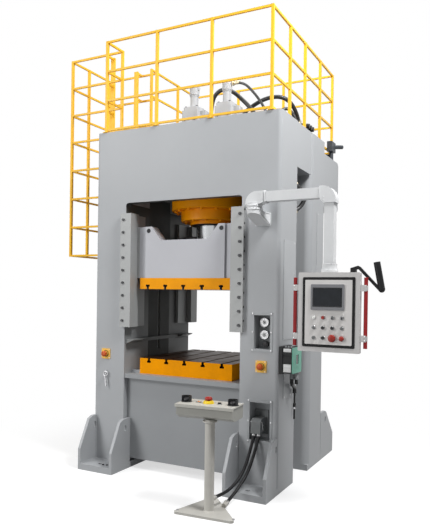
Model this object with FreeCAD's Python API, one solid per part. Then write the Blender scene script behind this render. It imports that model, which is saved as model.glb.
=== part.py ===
"""Straight-sided hydraulic press: welded portals, guided slide, cylinder in the crown,
railing with a caged ladder, a swinging operator panel and a two-hand stand.

Millimetres. The origin is on the floor at the centre of the four anchor holes,
+X to the operator's right, +Y to the rear of the press, +Z up.
"""
import FreeCAD, Part
import math
import os

V = FreeCAD.Vector

# ---------------------------------------------------------------- driving dimensions
# frame
FRAME_W = 2020.0            # over the two columns
FRAME_D = 1290.0            # over the two portals
FRAME_H = 3400.0            # floor to the top of the crown
WINDOW_W = 1280.0           # daylight between the columns
CROWN_H = 735.0             # crown above the window
WINDOW_TOP = FRAME_H - CROWN_H
FRONT_PORTAL_D = 425.0
REAR_PORTAL_D = 445.0
CROWN_PLATE_T = 80.0        # front and rear skins of the crown below its floor
CROWN_LIP_H = 115.0         # crown plates below the floor that carries the cylinder
CROWN_FLOOR_Z = WINDOW_TOP + CROWN_LIP_H
FRONT_EDGE_R = 35.0
REAR_EDGE_R = 70.0
WINDOW_CORNER_R = 30.0
GAP_RISE = 310.0            # side gap between the portals, above the window
GAP_TOP_Z = WINDOW_TOP + GAP_RISE
CROWN_SIDE_INSET = 5.0
WEB_T = 25.0                # plates that close the window side of the gap
WEB_SLOT_W = 42.0
WEB_SLOT_DROP = 185.0
WEB_SLOT_END_Z = (1150.0, WINDOW_TOP - WEB_SLOT_DROP)

# feet
FOOT_PLATE_T = 60.0
FOOT_TOE_FRONT = 242.0
FOOT_TOE_REAR = 455.0
FOOT_INNER_LAP = 42.0       # how far the foot plate reaches into the window
GUSSET_T = 30.0
GUSSET_TOE_H = 208.0
GUSSET_TOP_H = 505.0
GUSSET_TOP_RUN = (105.0, 200.0)          # front and rear feet
GUSSET_LAP = 60.0           # the inner gusset's run along the window side of the column
GUSSET_HOLE_OUT = (19.0, 166.0)          # hole's middle in front of the column's face
GUSSET_HOLE_Z = 410.0
GUSSET_HOLE_W = 30.0
GUSSET_HOLE_H = 62.0
ANCHOR_HOLE_R = 22.0
ANCHOR_OFFSET = 150.0       # anchor hole in front of the frame's face

# bed and bolster
BED_BOTTOM_Z = 100.0
BED_TOP_Z = 910.0
BED_SETBACK = 62.0
LEDGE_T = 45.0
BOLSTER_W = 1030.0
BOLSTER_D = 1090.0
BOLSTER_T = 155.0
BOLSTER_KEY = (95.0, 80.0, 32.0)

# T-slots of bolster and slide plate
SLOT_PITCH = 204.0
SLOT_COUNT = 5
SLOT_NECK_W = 26.0
SLOT_NECK_H = 24.0
SLOT_HEAD_W = 46.0
SLOT_HEAD_H = 20.0

# slide, at its rest height
SLIDE_DROP = 860.0          # plate's underside below the window's top
SLIDE_PLATE_BOTTOM_Z = WINDOW_TOP - SLIDE_DROP
SLIDE_PLATE_T = 110.0
SLIDE_PLATE_W = 1000.0
SLIDE_PLATE_D = 1170.0
SLIDE_SHOULDER_H = 510.0
SLIDE_BODY_D = 1130.0
SLIDE_FACE_W = 880.0
SLIDE_FACE_T = 20.0
SLIDE_NOTCH_BOTTOM_W = 528.0
SLIDE_NOTCH_TOP_W = 744.0
SLIDE_NOTCH_H = 138.0
SLIDE_SKIN_T = 70.0         # front and rear plates that rise above the slide's deck
SLIDE_EYE_R = 15.0
SLIDE_EYE_X = 404.0
SLIDE_EYE_DROP = 42.0
SLIDE_EAR_D = 70.0
SLIDE_EAR_OUT = 45.0
GIB_CLEARANCE = 0.5

# gibs
GIB_L = 1132.0
GIB_DROP = 109.0
GIB_TOP_Z = WINDOW_TOP - GIB_DROP
GIB_BOTTOM_Z = GIB_TOP_Z - GIB_L
GIB_INNER_X = 550.0
GIB_OUTER_X = 676.0
GIB_PLATE_T = 40.0
GIB_NOSE_D = 100.0
GIB_BACKING_D = 200.0
GIB_BACKING_T = 32.0
GIB_BOLT_COUNT = 9
GIB_BOLT_X = 640.0
GIB_BOLT_END = 64.0         # first and last bolt from the gib's ends
GIB_BOLT_HEAD_R = 14.0
GIB_BOLT_HEAD_H = 14.0
SLIP = 0.3                  # play between a seated round piece and its hole

# cylinder
RAM_R = 165.0
PISTON_H = 100.0
BORE_R = 250.0
BARREL_R = 325.0
FLANGE_T = 162.0
BARREL_BOTTOM_Z = CROWN_FLOOR_Z - FLANGE_T
BARREL_TOP_Z = FRAME_H
RAM_IN_BARREL = 612.0       # piston's top above the barrel's mouth
RAM_TOP_Z = BARREL_BOTTOM_Z + RAM_IN_BARREL
BARREL_CAP_T = 60.0
FLANGE_R = 424.0
GLAND_R = 326.0
GLAND_H = 107.0
GLAND_LIP_R = 235.0
GLAND_LIP_H = 32.0
RAM_CLEARANCE = 0.5

# railing
POST_W = 26.0
RAIL_W = 20.0
RAIL_X = 908.0
RAIL_FRONT_INSET = 15.0
RAIL_REAR_Y = 1245.0
RAIL_FIRST_H = 28.0         # lowest rail above the crown
RAIL_STEP = 300.0
RAIL_LEVELS = 4
SIDE_POST_Y = (-175.0, 262.0, 770.0)
LANDING_POST_Y = 183.0      # post at the rear edge of the way on to the crown

# ladder and its cage
CAGE_OUT_X = 1585.0
CAGE_FRONT_Y = -374.0
CAGE_REAR_Y = 303.0
CAGE_LEVELS_BELOW = 4
CAGE_STEP = 315.0           # pitch of the cage's rails below the crown
CAGE_MIDDLE_Y = -95.0
LADDER_OFF = 110.0          # stile centre from the side of the frame
LADDER_BOTTOM_Z = 220.0
STILE = (50.0, 22.0)
RUNG_R = 12.5
RUNG_STEP = 300.0
LADDER_WIDTH = 440.0
LADDER_PAD_L = 80.0         # welded pads that carry the stile brackets on the two columns
LADDER_PAD_T = 10.0

# oil tank on the rear of the crown
TANK_W = 1980.0
TANK_D = 610.0
TANK_H = 572.0
TANK_TOP_DROP = 103.0
TANK_TOP_Z = FRAME_H - TANK_TOP_DROP
TANK_BOTTOM_Z = TANK_TOP_Z - TANK_H
TANK_EDGE_R = 55.0

# prefill valves on the cylinder
VALVE_X = (-150.0, 228.0)
VALVE_Y = -150.0
VALVE_BLOCK = (190.0, 190.0, 285.0)
VALVE_NECK_R = 42.0
VALVE_CAP_R = 50.0
VALVE_NECK_H = 137.0
VALVE_CAP_H = 90.0
VALVE_PORT_L = 60.0
VALVE_PORT_DROP = 100.0     # rear port below the block's top

# pump unit on the tank
MOTOR_R = 95.0
MOTOR_L = 330.0
PUMP_X = 735.0
PUMP_Y = 960.0
VALVE_POST_X = 954.0
PUMP_BASE = (270.0, 330.0, 24.0)
MOTOR_BACK = 150.0          # motor's rear end from the unit's middle
PUMP_AHEAD = 131.0
PUMP_FOOT = (130.0, 180.0)
TERMINAL_BOX = (60.0, 110.0, 90.0)
SUCTION_BODY = (58.0, 150.0, 110.0)
SUCTION_OFF = 120.0         # suction pipe from the unit's middle
SUCTION_Z = 64.0
GRIP_BAR_L = 150.0

# hoses on the crown
HOSE_R = 21.0
HOSE_THIN_R = 13.0
HOSE_RUN = 96.0             # straight run between two bends of a hose
# courses of the hoses: x, y and the height above the crown
BYPASS_COURSE = ((-12.0, -20.0, 0.0), (-3.0, -22.0, 381.0), (44.0, -25.0, 466.0), (124.0, -25.0, 490.0),
                 (210.0, -25.0, 464.0), (294.0, -25.0, 398.0), (376.0, -25.0, 316.0), (450.0, -25.0, 236.0),
                 (520.0, -25.0, 0.0))
PILOT_COURSE = ((385.0, -158.0, 480.0), (485.0, -165.0, 404.0), (590.0, -170.0, 275.0),
                (660.0, -175.0, 160.0), (692.0, -175.0, 0.0))
RETURN_COURSE = ((253.0, 112.0, 228.0), (335.0, 146.0, 304.0), (440.0, 140.0, 356.0), (560.0, 132.0, 386.0),
                 (660.0, 148.0, 392.0), (736.0, 206.0, 372.0), (782.0, 290.0, 306.0), (800.0, 366.0, 218.0))
PRESSURE_FROM = (520.0, 92.0)
PRESSURE_STEP = (66.0, -12.0)
PRESSURE_RISE = (200.0, 240.0, 280.0)
GAP_HOSE_DROP = (151.0, 281.0, 411.0)    # below the top of the side gap
GAP_HOSE_BOW = (80.0, 136.0)

# gauge recess and lower socket recess in the right column
RECESS_X = 853.0
GAUGE_PANEL = (202.0, 350.0)
GAUGE_PANEL_Z = 1432.0
GAUGE_OPENING = (156.0, 302.0)
SOCKET_PANEL = (236.0, 392.0)
SOCKET_PANEL_X = 842.0
SOCKET_PANEL_Z = 636.0
SOCKET_OPENING = (196.0, 336.0)
RECESS_D = 130.0
RECESS_FRAME_T = 5.0
RECESS_WALL_T = 3.0
RECESS_SCREW_R = 7.0
GAUGE_R = 40.0
GAUGE_Z = (1519.0, 1409.0)
GAUGE_H = 45.0
REGULATOR_Z = 1322.0
REGULATOR_R = 25.0
REGULATOR_H = 46.0

# emergency-stop plates on the two columns
STOP_PLATE = 104.0
STOP_PLATE_T = 8.0
STOP_LEFT_X = -864.0
STOP_LEFT_Z = 1142.0
STOP_RIGHT_X = 849.0
STOP_RIGHT_Z = 1126.0
STOP_COLLAR_R = 30.0
STOP_COLLAR_H = 12.0
STOP_HEAD_R = 30.0
STOP_STEM_R = 12.0
STOP_TRAVEL = 6.0
STOP_HEAD_H = 26.0
PRESS_GAP = 1.0             # air left under a push button that is pressed home

# relay unit on the side of the right column
RELAY_BACK_T = 32.0
RELAY_W = 90.0
RELAY_D = 225.0
RELAY_H = 226.0
RELAY_Z = 1078.0
RELAY_FRONT_SETBACK = 22.0
RELAY_CAP_T = 3.0           # moulded cover over the module's outer side
RELAY_WINDOW = (70.0, 84.0)
PLUG_R = 20.0
PLUG_L = 70.0
CONDUIT_R = 9.0
CONDUIT_L = 290.0

# access covers on the right side of the columns
COVER_T = 4.0
COVER_UPPER_Y = (100.0, 388.0)           # from the front of the frame
COVER_LOWER_Y = (130.0, 330.0)
COVER_REAR_Y = (205.0, 400.0)            # from the front of the rear portal
COVER_UPPER_Z = (1362.0, 2263.0)
COVER_LOWER_Z = (830.0, 1060.0)
COVER_REAR_Z = (1990.0, 2620.0)

# pendant arm
ARM_OUT = 200.0             # arm's centre plane in front of the frame's face
BRACKET_X = 850.0           # swivel axis of the arm
BRACKET_R = 66.0
BRACKET_BOTTOM_Z = 2376.0
BRACKET_TIP_Z = 2458.0
NECK_Z = 2486.0
NECK_H = 49.0
NECK_GROOVE = 5.0
SWIVEL_GAP = 0.5
ARM_TUBE_W = 84.0
ARM_TUBE_BOTTOM_Z = 2553.0
ARM_TUBE_H = 85.0
ARM_TUBE_TOP_Z = ARM_TUBE_BOTTOM_Z + ARM_TUBE_H
ELBOW_W = 96.0
ELBOW_R = 100.0
DROP_X = 1516.0
DROP_W = 80.0
DROP_BOTTOM_Z = 2021.0
COLLAR_R = 65.0
COLLAR_H = 70.0

# operator panel
PANEL_W = 501.0
PANEL_H = 634.0
PANEL_FRAME_D = 46.0
PANEL_CASE_D = 96.0
PANEL_CASE_INSET = 24.0
PANEL_DX = 16.0             # panel's middle from the drop tube's axis
PANEL_EDGE_R = 9.0
PANEL_FRONT_OUT = 75.0      # front of the frame ahead of the drop tube's axis
SEAL_W = 22.0
SEAL_INSET = 38.0
SEAL_T = 4.0
DOOR_T = 7.0
SCREEN_W = 270.0
SCREEN_H = 205.0
SCREEN_T = 10.0
SCREEN_DX = -6.0
SCREEN_DROP = 198.0         # screen's middle below the panel's top
GLASS_W = 228.0
GLASS_H = 142.0
GLASS_RECESS = 2.0
BUTTON_PITCH_X = 76.0
BUTTON_PITCH_Z = 81.0
BUTTON_FIRST_X = -116.0     # first column from the panel's middle
BUTTON_FIRST_DROP = 360.0   # first row below the panel's top
BUTTON_R = 13.0
BEZEL_R = 16.0
BEZEL_H = 4.0
BUTTON_H = 12.0
BUTTON_TRAVEL = 4.0
MUSHROOM_R = 20.0
HANDLE_W = 30.0
HANDLE_D = 22.0
HANDLE_L = 552.0
HANDLE_GAP = 22.0           # bar's inner face from the panel's side
HANDLE_BRACKET_W = 70.0
HANDLE_BRACKET_H = 50.0
HANDLE_BRACKET_T = 16.0
HANDLE_BRACKET_DROP = (123.0, 516.0)
GRIP_R = 26.0
GRIP_L = 215.0
STRAP_W = 16.0
STRAP_D = 30.0

# two-hand stand
STAND_X = 676.0
STAND_Y = -1279.0
STAND_TURN = 5.5            # degrees about the post
STAND_POST_R = 40.0
STAND_TOP_Z = 872.0
STAND_W = 505.0
STAND_BOX_D = 262.0
STAND_BOX_H = 108.0
STAND_BOX_SHIFT = (-30.0, 56.0)
STAND_LID_T = 10.0
STAND_LID_LAP = 9.0
STAND_CHAMFER = 30.0
STAND_BASE_T = 20.0
STAND_BASE_R = 26.0
STAND_TOE = ((-268.0, -134.0), (280.0, -142.0), (-78.0, 345.0))
PALM_X = 205.0
PALM_R = 30.0
PALM_H = 26.0
PALM_GUARD_R = 42.0
PALM_GUARD_H = 48.0
STAND_STOP_X = -8.0
STAND_STOP_R = 32.0
STAND_COLLAR_R = 46.0
STAND_COLLAR_H = 22.0
STAND_BUTTON_X = 88.0
STAND_BUTTON_R = 16.0
STAND_BUTTON_H = 10.0

# leads
LEAD_R = 14.0
LEAD_RUN = 92.0
LEAD_FRONT_COURSE = ((818.0, -722.0, 340.0), (803.0, -795.0, 225.0), (778.0, -925.0, 124.0),
                     (756.0, -1112.0, 47.0))
LEAD_REAR_COURSE = ((774.0, -722.0, 340.0), (760.0, -800.0, 225.0), (734.0, -940.0, 134.0),
                    (694.0, -1212.0, 110.0))
GLAND_NUT_R = 21.0
GLAND_NUT_H = 34.0
HOOD_X = 812.0              # connector hood in the lower recess
HOOD_W = 92.0
HOOD_H = 130.0
HOOD_BOTTOM_Z = 530.0
HOOD_OUT = 24.0             # hood's face in front of the column's face
HOOD_PLATE_W = 130.0
GLAND_X = (835.0, 788.0)    # glands of the front and the rear lead
GLAND_OUT = 6.0             # gland mouth in front of the column's face
GLAND_TILT = 30.0           # degrees forward of straight down

# valve block on the right rear of the crown
MANIFOLD = (802.0, 500.0)
MANIFOLD_SIZE = (150.0, 260.0, 110.0)
MANIFOLD_PORT_H = 56.0
MANIFOLD_RETURN_OFF = 104.0

# loose shelf bracket on the left window wall
SHELF_DROP = 174.0          # below the gibs
SHELF_Z = GIB_BOTTOM_Z - SHELF_DROP
SHELF_W = 95.0
SHELF_ENDS = ((20.0, 250.0), (-290.0, -70.0))   # front end from the frame's front, rear end from its rear

# ---------------------------------------------------------------- derived values
LAMPS = ((0, 0), (0, 1), (3, 1), (0, 2))     # columns and rows of the panel's lamps
HALF_W = FRAME_W / 2
HALF_D = FRAME_D / 2
HALF_WINDOW = WINDOW_W / 2
FRONT_Y = -HALF_D
REAR_Y = HALF_D
FRONT_BACK_Y = FRONT_Y + FRONT_PORTAL_D
REAR_FRONT_Y = REAR_Y - REAR_PORTAL_D
LEDGE_Z = BED_TOP_Z + LEDGE_T
BOLSTER_Z = LEDGE_Z + BOLSTER_T
SLIDE_PLATE_TOP_Z = SLIDE_PLATE_BOTTOM_Z + SLIDE_PLATE_T
SLIDE_TOP_Z = SLIDE_PLATE_TOP_Z + SLIDE_SHOULDER_H
SLIDE_NOTCH_Z = SLIDE_TOP_Z - SLIDE_NOTCH_H
SLIDE_HALF_W = GIB_INNER_X - GIB_CLEARANCE
RAIL_TOP_Z = FRAME_H + RAIL_FIRST_H + (RAIL_LEVELS - 1) * RAIL_STEP
ARM_Y = FRONT_Y - ARM_OUT
ARM_Z = (ARM_TUBE_BOTTOM_Z + ARM_TUBE_TOP_Z) / 2
ELBOW_BOTTOM_Z = NECK_Z + NECK_H + SWIVEL_GAP
PANEL_X = DROP_X + PANEL_DX
PANEL_TOP_Z = DROP_BOTTOM_Z - COLLAR_H - SWIVEL_GAP
PANEL_BOTTOM_Z = PANEL_TOP_Z - PANEL_H
PANEL_FRONT_Y = ARM_Y - PANEL_FRONT_OUT
PANEL_Z = (PANEL_TOP_Z + PANEL_BOTTOM_Z) / 2
DOOR_FRONT_Y = PANEL_FRONT_Y - DOOR_T
STAND_BOX_Z = STAND_TOP_Z - STAND_LID_T
HOOD_BACK_Y = FRONT_Y + RECESS_D - RECESS_WALL_T
BUTTON_STEM_R = BUTTON_R - 3


# ---------------------------------------------------------------- shape helpers
def block(x0, x1, y0, y1, z0, z1):
    return Part.makeBox(x1 - x0, y1 - y0, z1 - z0, V(x0, y0, z0))


def centred(x, y, z, dx, dy, dz):
    return block(x - dx / 2, x + dx / 2, y - dy / 2, y + dy / 2, z - dz / 2, z + dz / 2)


def round_bar(radius, base, direction, length):
    return Part.makeCylinder(radius, length, base, direction)


def fuse(first, *others):
    return first.multiFuse(list(others)).removeSplitter()


def mirror_x(shape):
    return shape.mirror(V(0, 0, 0), V(1, 0, 0))


def mirror_y(shape):
    return shape.mirror(V(0, 0, 0), V(0, 1, 0))


def rounded_polygon(points, radii):
    """A closed face through the points, each corner rounded by its own radius."""
    count = len(points)
    edges = []
    starts = []
    ends = []
    for i, point in enumerate(points):
        back = (points[i - 1] - point).normalize()
        ahead = (points[(i + 1) % count] - point).normalize()
        half = back.getAngle(ahead) / 2
        reach = radii[i] / math.tan(half) if radii[i] else 0.0
        first = point + back * reach
        last = point + ahead * reach
        starts.append(first)
        ends.append(last)
        if radii[i]:
            centre = point + (back + ahead).normalize() * (radii[i] / math.sin(half))
            middle = centre + (point - centre).normalize() * radii[i]
            edges.append(Part.Arc(first, middle, last).toShape())
        edges.append(None)
    line_number = 0
    for i in range(len(edges)):
        if edges[i] is None:
            edges[i] = Part.makeLine(ends[line_number], starts[(line_number + 1) % count])
            line_number += 1
    return Part.Face(Part.Wire(edges))


def rounded_box(x0, x1, y0, y1, z0, z1, radius, axis="z"):
    """A block whose four edges along one axis are rounded."""
    if axis == "z":
        corners = [V(x0, y0, z0), V(x1, y0, z0), V(x1, y1, z0), V(x0, y1, z0)]
        push = V(0, 0, z1 - z0)
    elif axis == "y":
        corners = [V(x0, y0, z0), V(x1, y0, z0), V(x1, y0, z1), V(x0, y0, z1)]
        push = V(0, y1 - y0, 0)
    else:
        corners = [V(x0, y0, z0), V(x0, y1, z0), V(x0, y1, z1), V(x0, y0, z1)]
        push = V(x1 - x0, 0, 0)
    return rounded_polygon(corners, [radius] * 4).extrude(push)


def turned(profile, base):
    """Revolve (radius, height) points about a vertical axis through base."""
    points = [base + V(r, 0, z) for r, z in profile]
    face = Part.Face(Part.makePolygon(points + [points[0]]))
    return face.revolve(base, V(0, 0, 1), 360)


def tube_path(points, end_share=0.45):
    """Straight runs joined by tangent arcs; returns the wire and the arcs' radii."""
    edges = []
    radii = []
    cursor = points[0]
    for i in range(1, len(points) - 1):
        corner = points[i]
        back = points[i - 1] - corner
        ahead = points[i + 1] - corner
        reach = end_share * min(back.Length, ahead.Length)
        back = V(back).normalize()
        ahead = V(ahead).normalize()
        half = back.getAngle(ahead) / 2
        radius = reach * math.tan(half)
        first = corner + back * reach
        last = corner + ahead * reach
        centre = corner + (back + ahead).normalize() * (radius / math.sin(half))
        middle = centre + (corner - centre).normalize() * radius
        edges.append(Part.LineSegment(cursor, first).toShape())
        edges.append(Part.Arc(first, middle, last).toShape())
        radii.append(radius)
        cursor = last
    edges.append(Part.LineSegment(cursor, points[-1]).toShape())
    return Part.Wire(edges), radii


def route(waypoints, leave, arrive, run):
    """Points of a smooth course: straight out of each end, equal runs between them."""
    leave = V(leave).normalize()
    arrive = V(arrive).normalize()
    stub = 0.7 * run
    first = waypoints[0] + leave * stub
    last = waypoints[-1] - arrive * stub
    curve = Part.BSplineCurve()
    curve.interpolate([waypoints[0], first] + waypoints[1:-1] + [last, waypoints[-1]])
    edge = curve.toShape()
    free_l = edge.Length - 2 * stub
    count = max(round(free_l / run), 2)
    inner = [edge.valueAt(edge.getParameterByLength(stub + free_l * i / count)) for i in range(1, count)]
    return [waypoints[0], first] + inner + [last, waypoints[-1]]


def hose(name, points, radius):
    """A round hose or lead along a route of points."""
    path, radii = tube_path(points)
    start = points[0]
    direction = (points[1] - points[0]).normalize()
    ring = Part.Wire(Part.makeCircle(radius, start, direction))
    solid = path.makePipeShell([ring], True, False)
    share = solid.Volume / (math.pi * radius * radius * path.Length)
    print(f"{name}: length {path.Length:.0f} mm, tightest arc {min(radii):.0f} mm, volume share {share:.3f}")
    return solid


def t_slots(y0, y1, face_z, into):
    """T-slot cutters that run in depth; into is +1 to cut upwards, -1 downwards."""
    cutters = []
    for i in range(SLOT_COUNT):
        x = (i - (SLOT_COUNT - 1) / 2) * SLOT_PITCH
        neck = face_z + into * SLOT_NECK_H
        head = neck + into * SLOT_HEAD_H
        outline = [V(x - SLOT_NECK_W / 2, y0, face_z), V(x + SLOT_NECK_W / 2, y0, face_z),
                   V(x + SLOT_NECK_W / 2, y0, neck), V(x + SLOT_HEAD_W / 2, y0, neck),
                   V(x + SLOT_HEAD_W / 2, y0, head), V(x - SLOT_HEAD_W / 2, y0, head),
                   V(x - SLOT_HEAD_W / 2, y0, neck), V(x - SLOT_NECK_W / 2, y0, neck)]
        face = Part.Face(Part.makePolygon(outline + [outline[0]]))
        cutters.append(face.extrude(V(0, y1 - y0, 0)))
    return cutters


# ---------------------------------------------------------------- frame
def portal(depth, front_r, rear_r, face_y, inner_y, toe):
    """One welded portal; face_y is its outer face, inner_y its other face."""
    low, high = min(face_y, inner_y), max(face_y, inner_y)
    plan = rounded_polygon([V(-HALF_W, low, 0), V(HALF_W, low, 0), V(HALF_W, high, 0), V(-HALF_W, high, 0)],
                           [front_r, front_r, rear_r, rear_r])
    body = plan.extrude(V(0, 0, FRAME_H))
    window = rounded_polygon([V(-HALF_WINDOW, low, -1), V(HALF_WINDOW, low, -1),
                              V(HALF_WINDOW, low, WINDOW_TOP), V(-HALF_WINDOW, low, WINDOW_TOP)],
                             [0, 0, WINDOW_CORNER_R, WINDOW_CORNER_R]).extrude(V(0, depth, 0))
    side = 1 if inner_y > face_y else -1
    skin_y = face_y + side * CROWN_PLATE_T
    pocket = block(-HALF_WINDOW, HALF_WINDOW, min(skin_y, inner_y), max(skin_y, inner_y),
                   WINDOW_TOP - WINDOW_CORNER_R, CROWN_FLOOR_Z)
    barrel_room = round_bar(BARREL_R + SLIP, V(0, 0, CROWN_FLOOR_Z - 1), V(0, 0, 1), FRAME_H)
    body = body.cut(window).cut(pocket).cut(barrel_room)
    feet = []
    for hand in (1, -1):
        pieces = foot(face_y, side, toe)
        feet += [mirror_x(piece) for piece in pieces] if hand < 0 else pieces
    return fuse(body, *feet)


def foot(face_y, side, toe):
    """Foot plate and its two gussets under the right column, before the anchor hole's mirror."""
    depth = FRONT_PORTAL_D if side > 0 else REAR_PORTAL_D
    toe_y = face_y - side * toe
    heel_y = face_y + side * depth
    inner_x = HALF_WINDOW - FOOT_INNER_LAP
    plate = block(inner_x, HALF_W, min(toe_y, heel_y), max(toe_y, heel_y), 0, FOOT_PLATE_T)
    anchor_y = face_y - side * ANCHOR_OFFSET
    anchor_x = (inner_x + HALF_W) / 2
    plate = plate.cut(round_bar(ANCHOR_HOLE_R, V(anchor_x, anchor_y, -1), V(0, 0, 1), FOOT_PLATE_T + 2))
    pieces = [plate]
    top_run = GUSSET_TOP_RUN[0] if side > 0 else GUSSET_TOP_RUN[1]
    hole_y = face_y - side * (GUSSET_HOLE_OUT[0] if side > 0 else GUSSET_HOLE_OUT[1])
    for x0, lap in ((inner_x, GUSSET_LAP), (HALF_W - GUSSET_T, 0.0)):
        outline = [V(x0, toe_y, FOOT_PLATE_T), V(x0, toe_y, GUSSET_TOE_H),
                   V(x0, face_y - side * top_run, GUSSET_TOP_H - 22),
                   V(x0, face_y - side * (top_run - 55), GUSSET_TOP_H),
                   V(x0, face_y + side * (lap + 1), GUSSET_TOP_H),
                   V(x0, face_y + side * (lap + 1), FOOT_PLATE_T)]
        gusset = Part.Face(Part.makePolygon(outline + [outline[0]])).extrude(V(GUSSET_T, 0, 0))
        slot = rounded_box(x0 - 1, x0 + GUSSET_T + 1, hole_y - GUSSET_HOLE_W / 2, hole_y + GUSSET_HOLE_W / 2,
                           GUSSET_HOLE_Z - GUSSET_HOLE_H / 2, GUSSET_HOLE_Z + GUSSET_HOLE_H / 2,
                           GUSSET_HOLE_W * 0.49, "x")
        pieces.append(gusset.cut(slot))
    return pieces


def front_portal():
    body = portal(FRONT_PORTAL_D, FRONT_EDGE_R, 0, FRONT_Y, FRONT_BACK_Y, FOOT_TOE_FRONT)
    gauge_room = recess_room(RECESS_X, GAUGE_PANEL_Z, GAUGE_OPENING)
    socket_room = recess_room(SOCKET_PANEL_X, SOCKET_PANEL_Z, SOCKET_OPENING)
    return body.cut(gauge_room).cut(socket_room)


def rear_portal():
    return portal(REAR_PORTAL_D, REAR_EDGE_R, 12, REAR_Y, REAR_FRONT_Y, FOOT_TOE_REAR)


def crown_box():
    """The crown between the portals: flush side plates and the floor that carries the cylinder."""
    half = HALF_W - CROWN_SIDE_INSET
    upper = block(-half, half, FRONT_BACK_Y, REAR_FRONT_Y, GAP_TOP_Z, FRAME_H)
    floor = block(-HALF_WINDOW, HALF_WINDOW, FRONT_BACK_Y, REAR_FRONT_Y, CROWN_FLOOR_Z, GAP_TOP_Z)
    room = round_bar(BARREL_R + SLIP, V(0, 0, CROWN_FLOOR_Z - 1), V(0, 0, 1), FRAME_H)
    return fuse(upper, floor).cut(room)


def side_webs():
    """Plates that close the window side of the gap, each with a tall slot for hoses."""
    webs = []
    for hand in (1, -1):
        web = block(HALF_WINDOW, HALF_WINDOW + WEB_T, FRONT_BACK_Y, REAR_FRONT_Y, LEDGE_Z, CROWN_FLOOR_Z)
        centre = (FRONT_BACK_Y + REAR_FRONT_Y) / 2
        slot = rounded_box(HALF_WINDOW - 1, HALF_WINDOW + WEB_T + 1, centre - WEB_SLOT_W / 2,
                           centre + WEB_SLOT_W / 2, WEB_SLOT_END_Z[0], WEB_SLOT_END_Z[1],
                           WEB_SLOT_W * 0.49, "x")
        web = web.cut(slot)
        webs.append(web if hand > 0 else mirror_x(web))
    return Part.makeCompound(webs)


def bed_box():
    """Bed between the columns, the ledge plate the bolster rests on, and a locating key."""
    half = HALF_WINDOW - 0.5
    inner = HALF_D - BED_SETBACK
    body = block(-half, half, -inner, inner, BED_BOTTOM_Z, BED_TOP_Z)
    ledge = block(-half, half, FRONT_Y + 8, REAR_Y - 8, BED_TOP_Z, LEDGE_Z)
    keys = []
    for hand in (1, -1):
        key_y = hand * (BOLSTER_D / 2 - BOLSTER_KEY[1] / 2)
        key_x = -BOLSTER_W / 2 - BOLSTER_KEY[0] / 2
        keys.append(centred(key_x, key_y, LEDGE_Z + BOLSTER_KEY[2] / 2, *BOLSTER_KEY))
    for hand in (1, -1):
        corner = foot_room(hand)
        body = body.cut(corner).cut(mirror_x(corner))
    return fuse(body, ledge, *keys)


def foot_room(side):
    """Space the foot plate and the inner gusset take in the bed's corner."""
    inner_x = HALF_WINDOW - FOOT_INNER_LAP - 1
    depth = FRONT_PORTAL_D if side > 0 else REAR_PORTAL_D
    inner_y = HALF_D - depth - 1
    plate = block(inner_x, HALF_WINDOW + 1, inner_y, HALF_D, 0, FOOT_PLATE_T + 1)
    gusset = block(inner_x, HALF_WINDOW + 1, HALF_D - GUSSET_LAP - 2, HALF_D, 0, GUSSET_TOP_H + 1)
    both = plate.fuse(gusset)
    return both if side < 0 else mirror_y(both)


def bolster():
    half = BOLSTER_D / 2
    body = block(-BOLSTER_W / 2, BOLSTER_W / 2, -half, half, LEDGE_Z, BOLSTER_Z)
    for cutter in t_slots(-half - 1, half + 1, BOLSTER_Z, -1):
        body = body.cut(cutter)
    return body


# ---------------------------------------------------------------- gibs and slide
def gib_pair(hand_y):
    """Bolted guides: each a plate on the portal's face, a nose in the window and a backing bar."""
    plate = block(GIB_INNER_X, GIB_OUTER_X, FRONT_Y - GIB_PLATE_T, FRONT_Y, GIB_BOTTOM_Z, GIB_TOP_Z)
    nose = block(GIB_INNER_X, HALF_WINDOW, FRONT_Y, FRONT_Y + GIB_NOSE_D, GIB_BOTTOM_Z, GIB_TOP_Z)
    backing = block(HALF_WINDOW - GIB_BACKING_T, HALF_WINDOW, FRONT_Y + GIB_NOSE_D,
                    FRONT_Y + GIB_NOSE_D + GIB_BACKING_D, GIB_BOTTOM_Z, GIB_TOP_Z)
    body = fuse(plate, nose, backing)
    pair = Part.makeCompound([body, mirror_x(body)])
    return mirror_y(pair) if hand_y < 0 else pair


def gib_bolts():
    """Hexagon-head bolts in a row down each gib, as separate solids."""
    bolts = []
    pitch = (GIB_TOP_Z - GIB_BOTTOM_Z - 2 * GIB_BOLT_END) / (GIB_BOLT_COUNT - 1)
    for i in range(GIB_BOLT_COUNT):
        z = GIB_BOTTOM_Z + GIB_BOLT_END + i * pitch
        y = FRONT_Y - GIB_PLATE_T
        corners = []
        for k in range(6):
            angle = math.radians(60 * k)
            out, up = GIB_BOLT_HEAD_R * math.cos(angle), GIB_BOLT_HEAD_R * math.sin(angle)
            corners.append(V(GIB_BOLT_X + out, y, z + up))
        head = Part.Face(Part.makePolygon(corners + [corners[0]])).extrude(V(0, -GIB_BOLT_HEAD_H, 0))
        for hand_x in (1, -1):
            bolt = head if hand_x > 0 else mirror_x(head)
            bolts += [bolt, mirror_y(bolt)]
    return Part.makeCompound(bolts)


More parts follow.
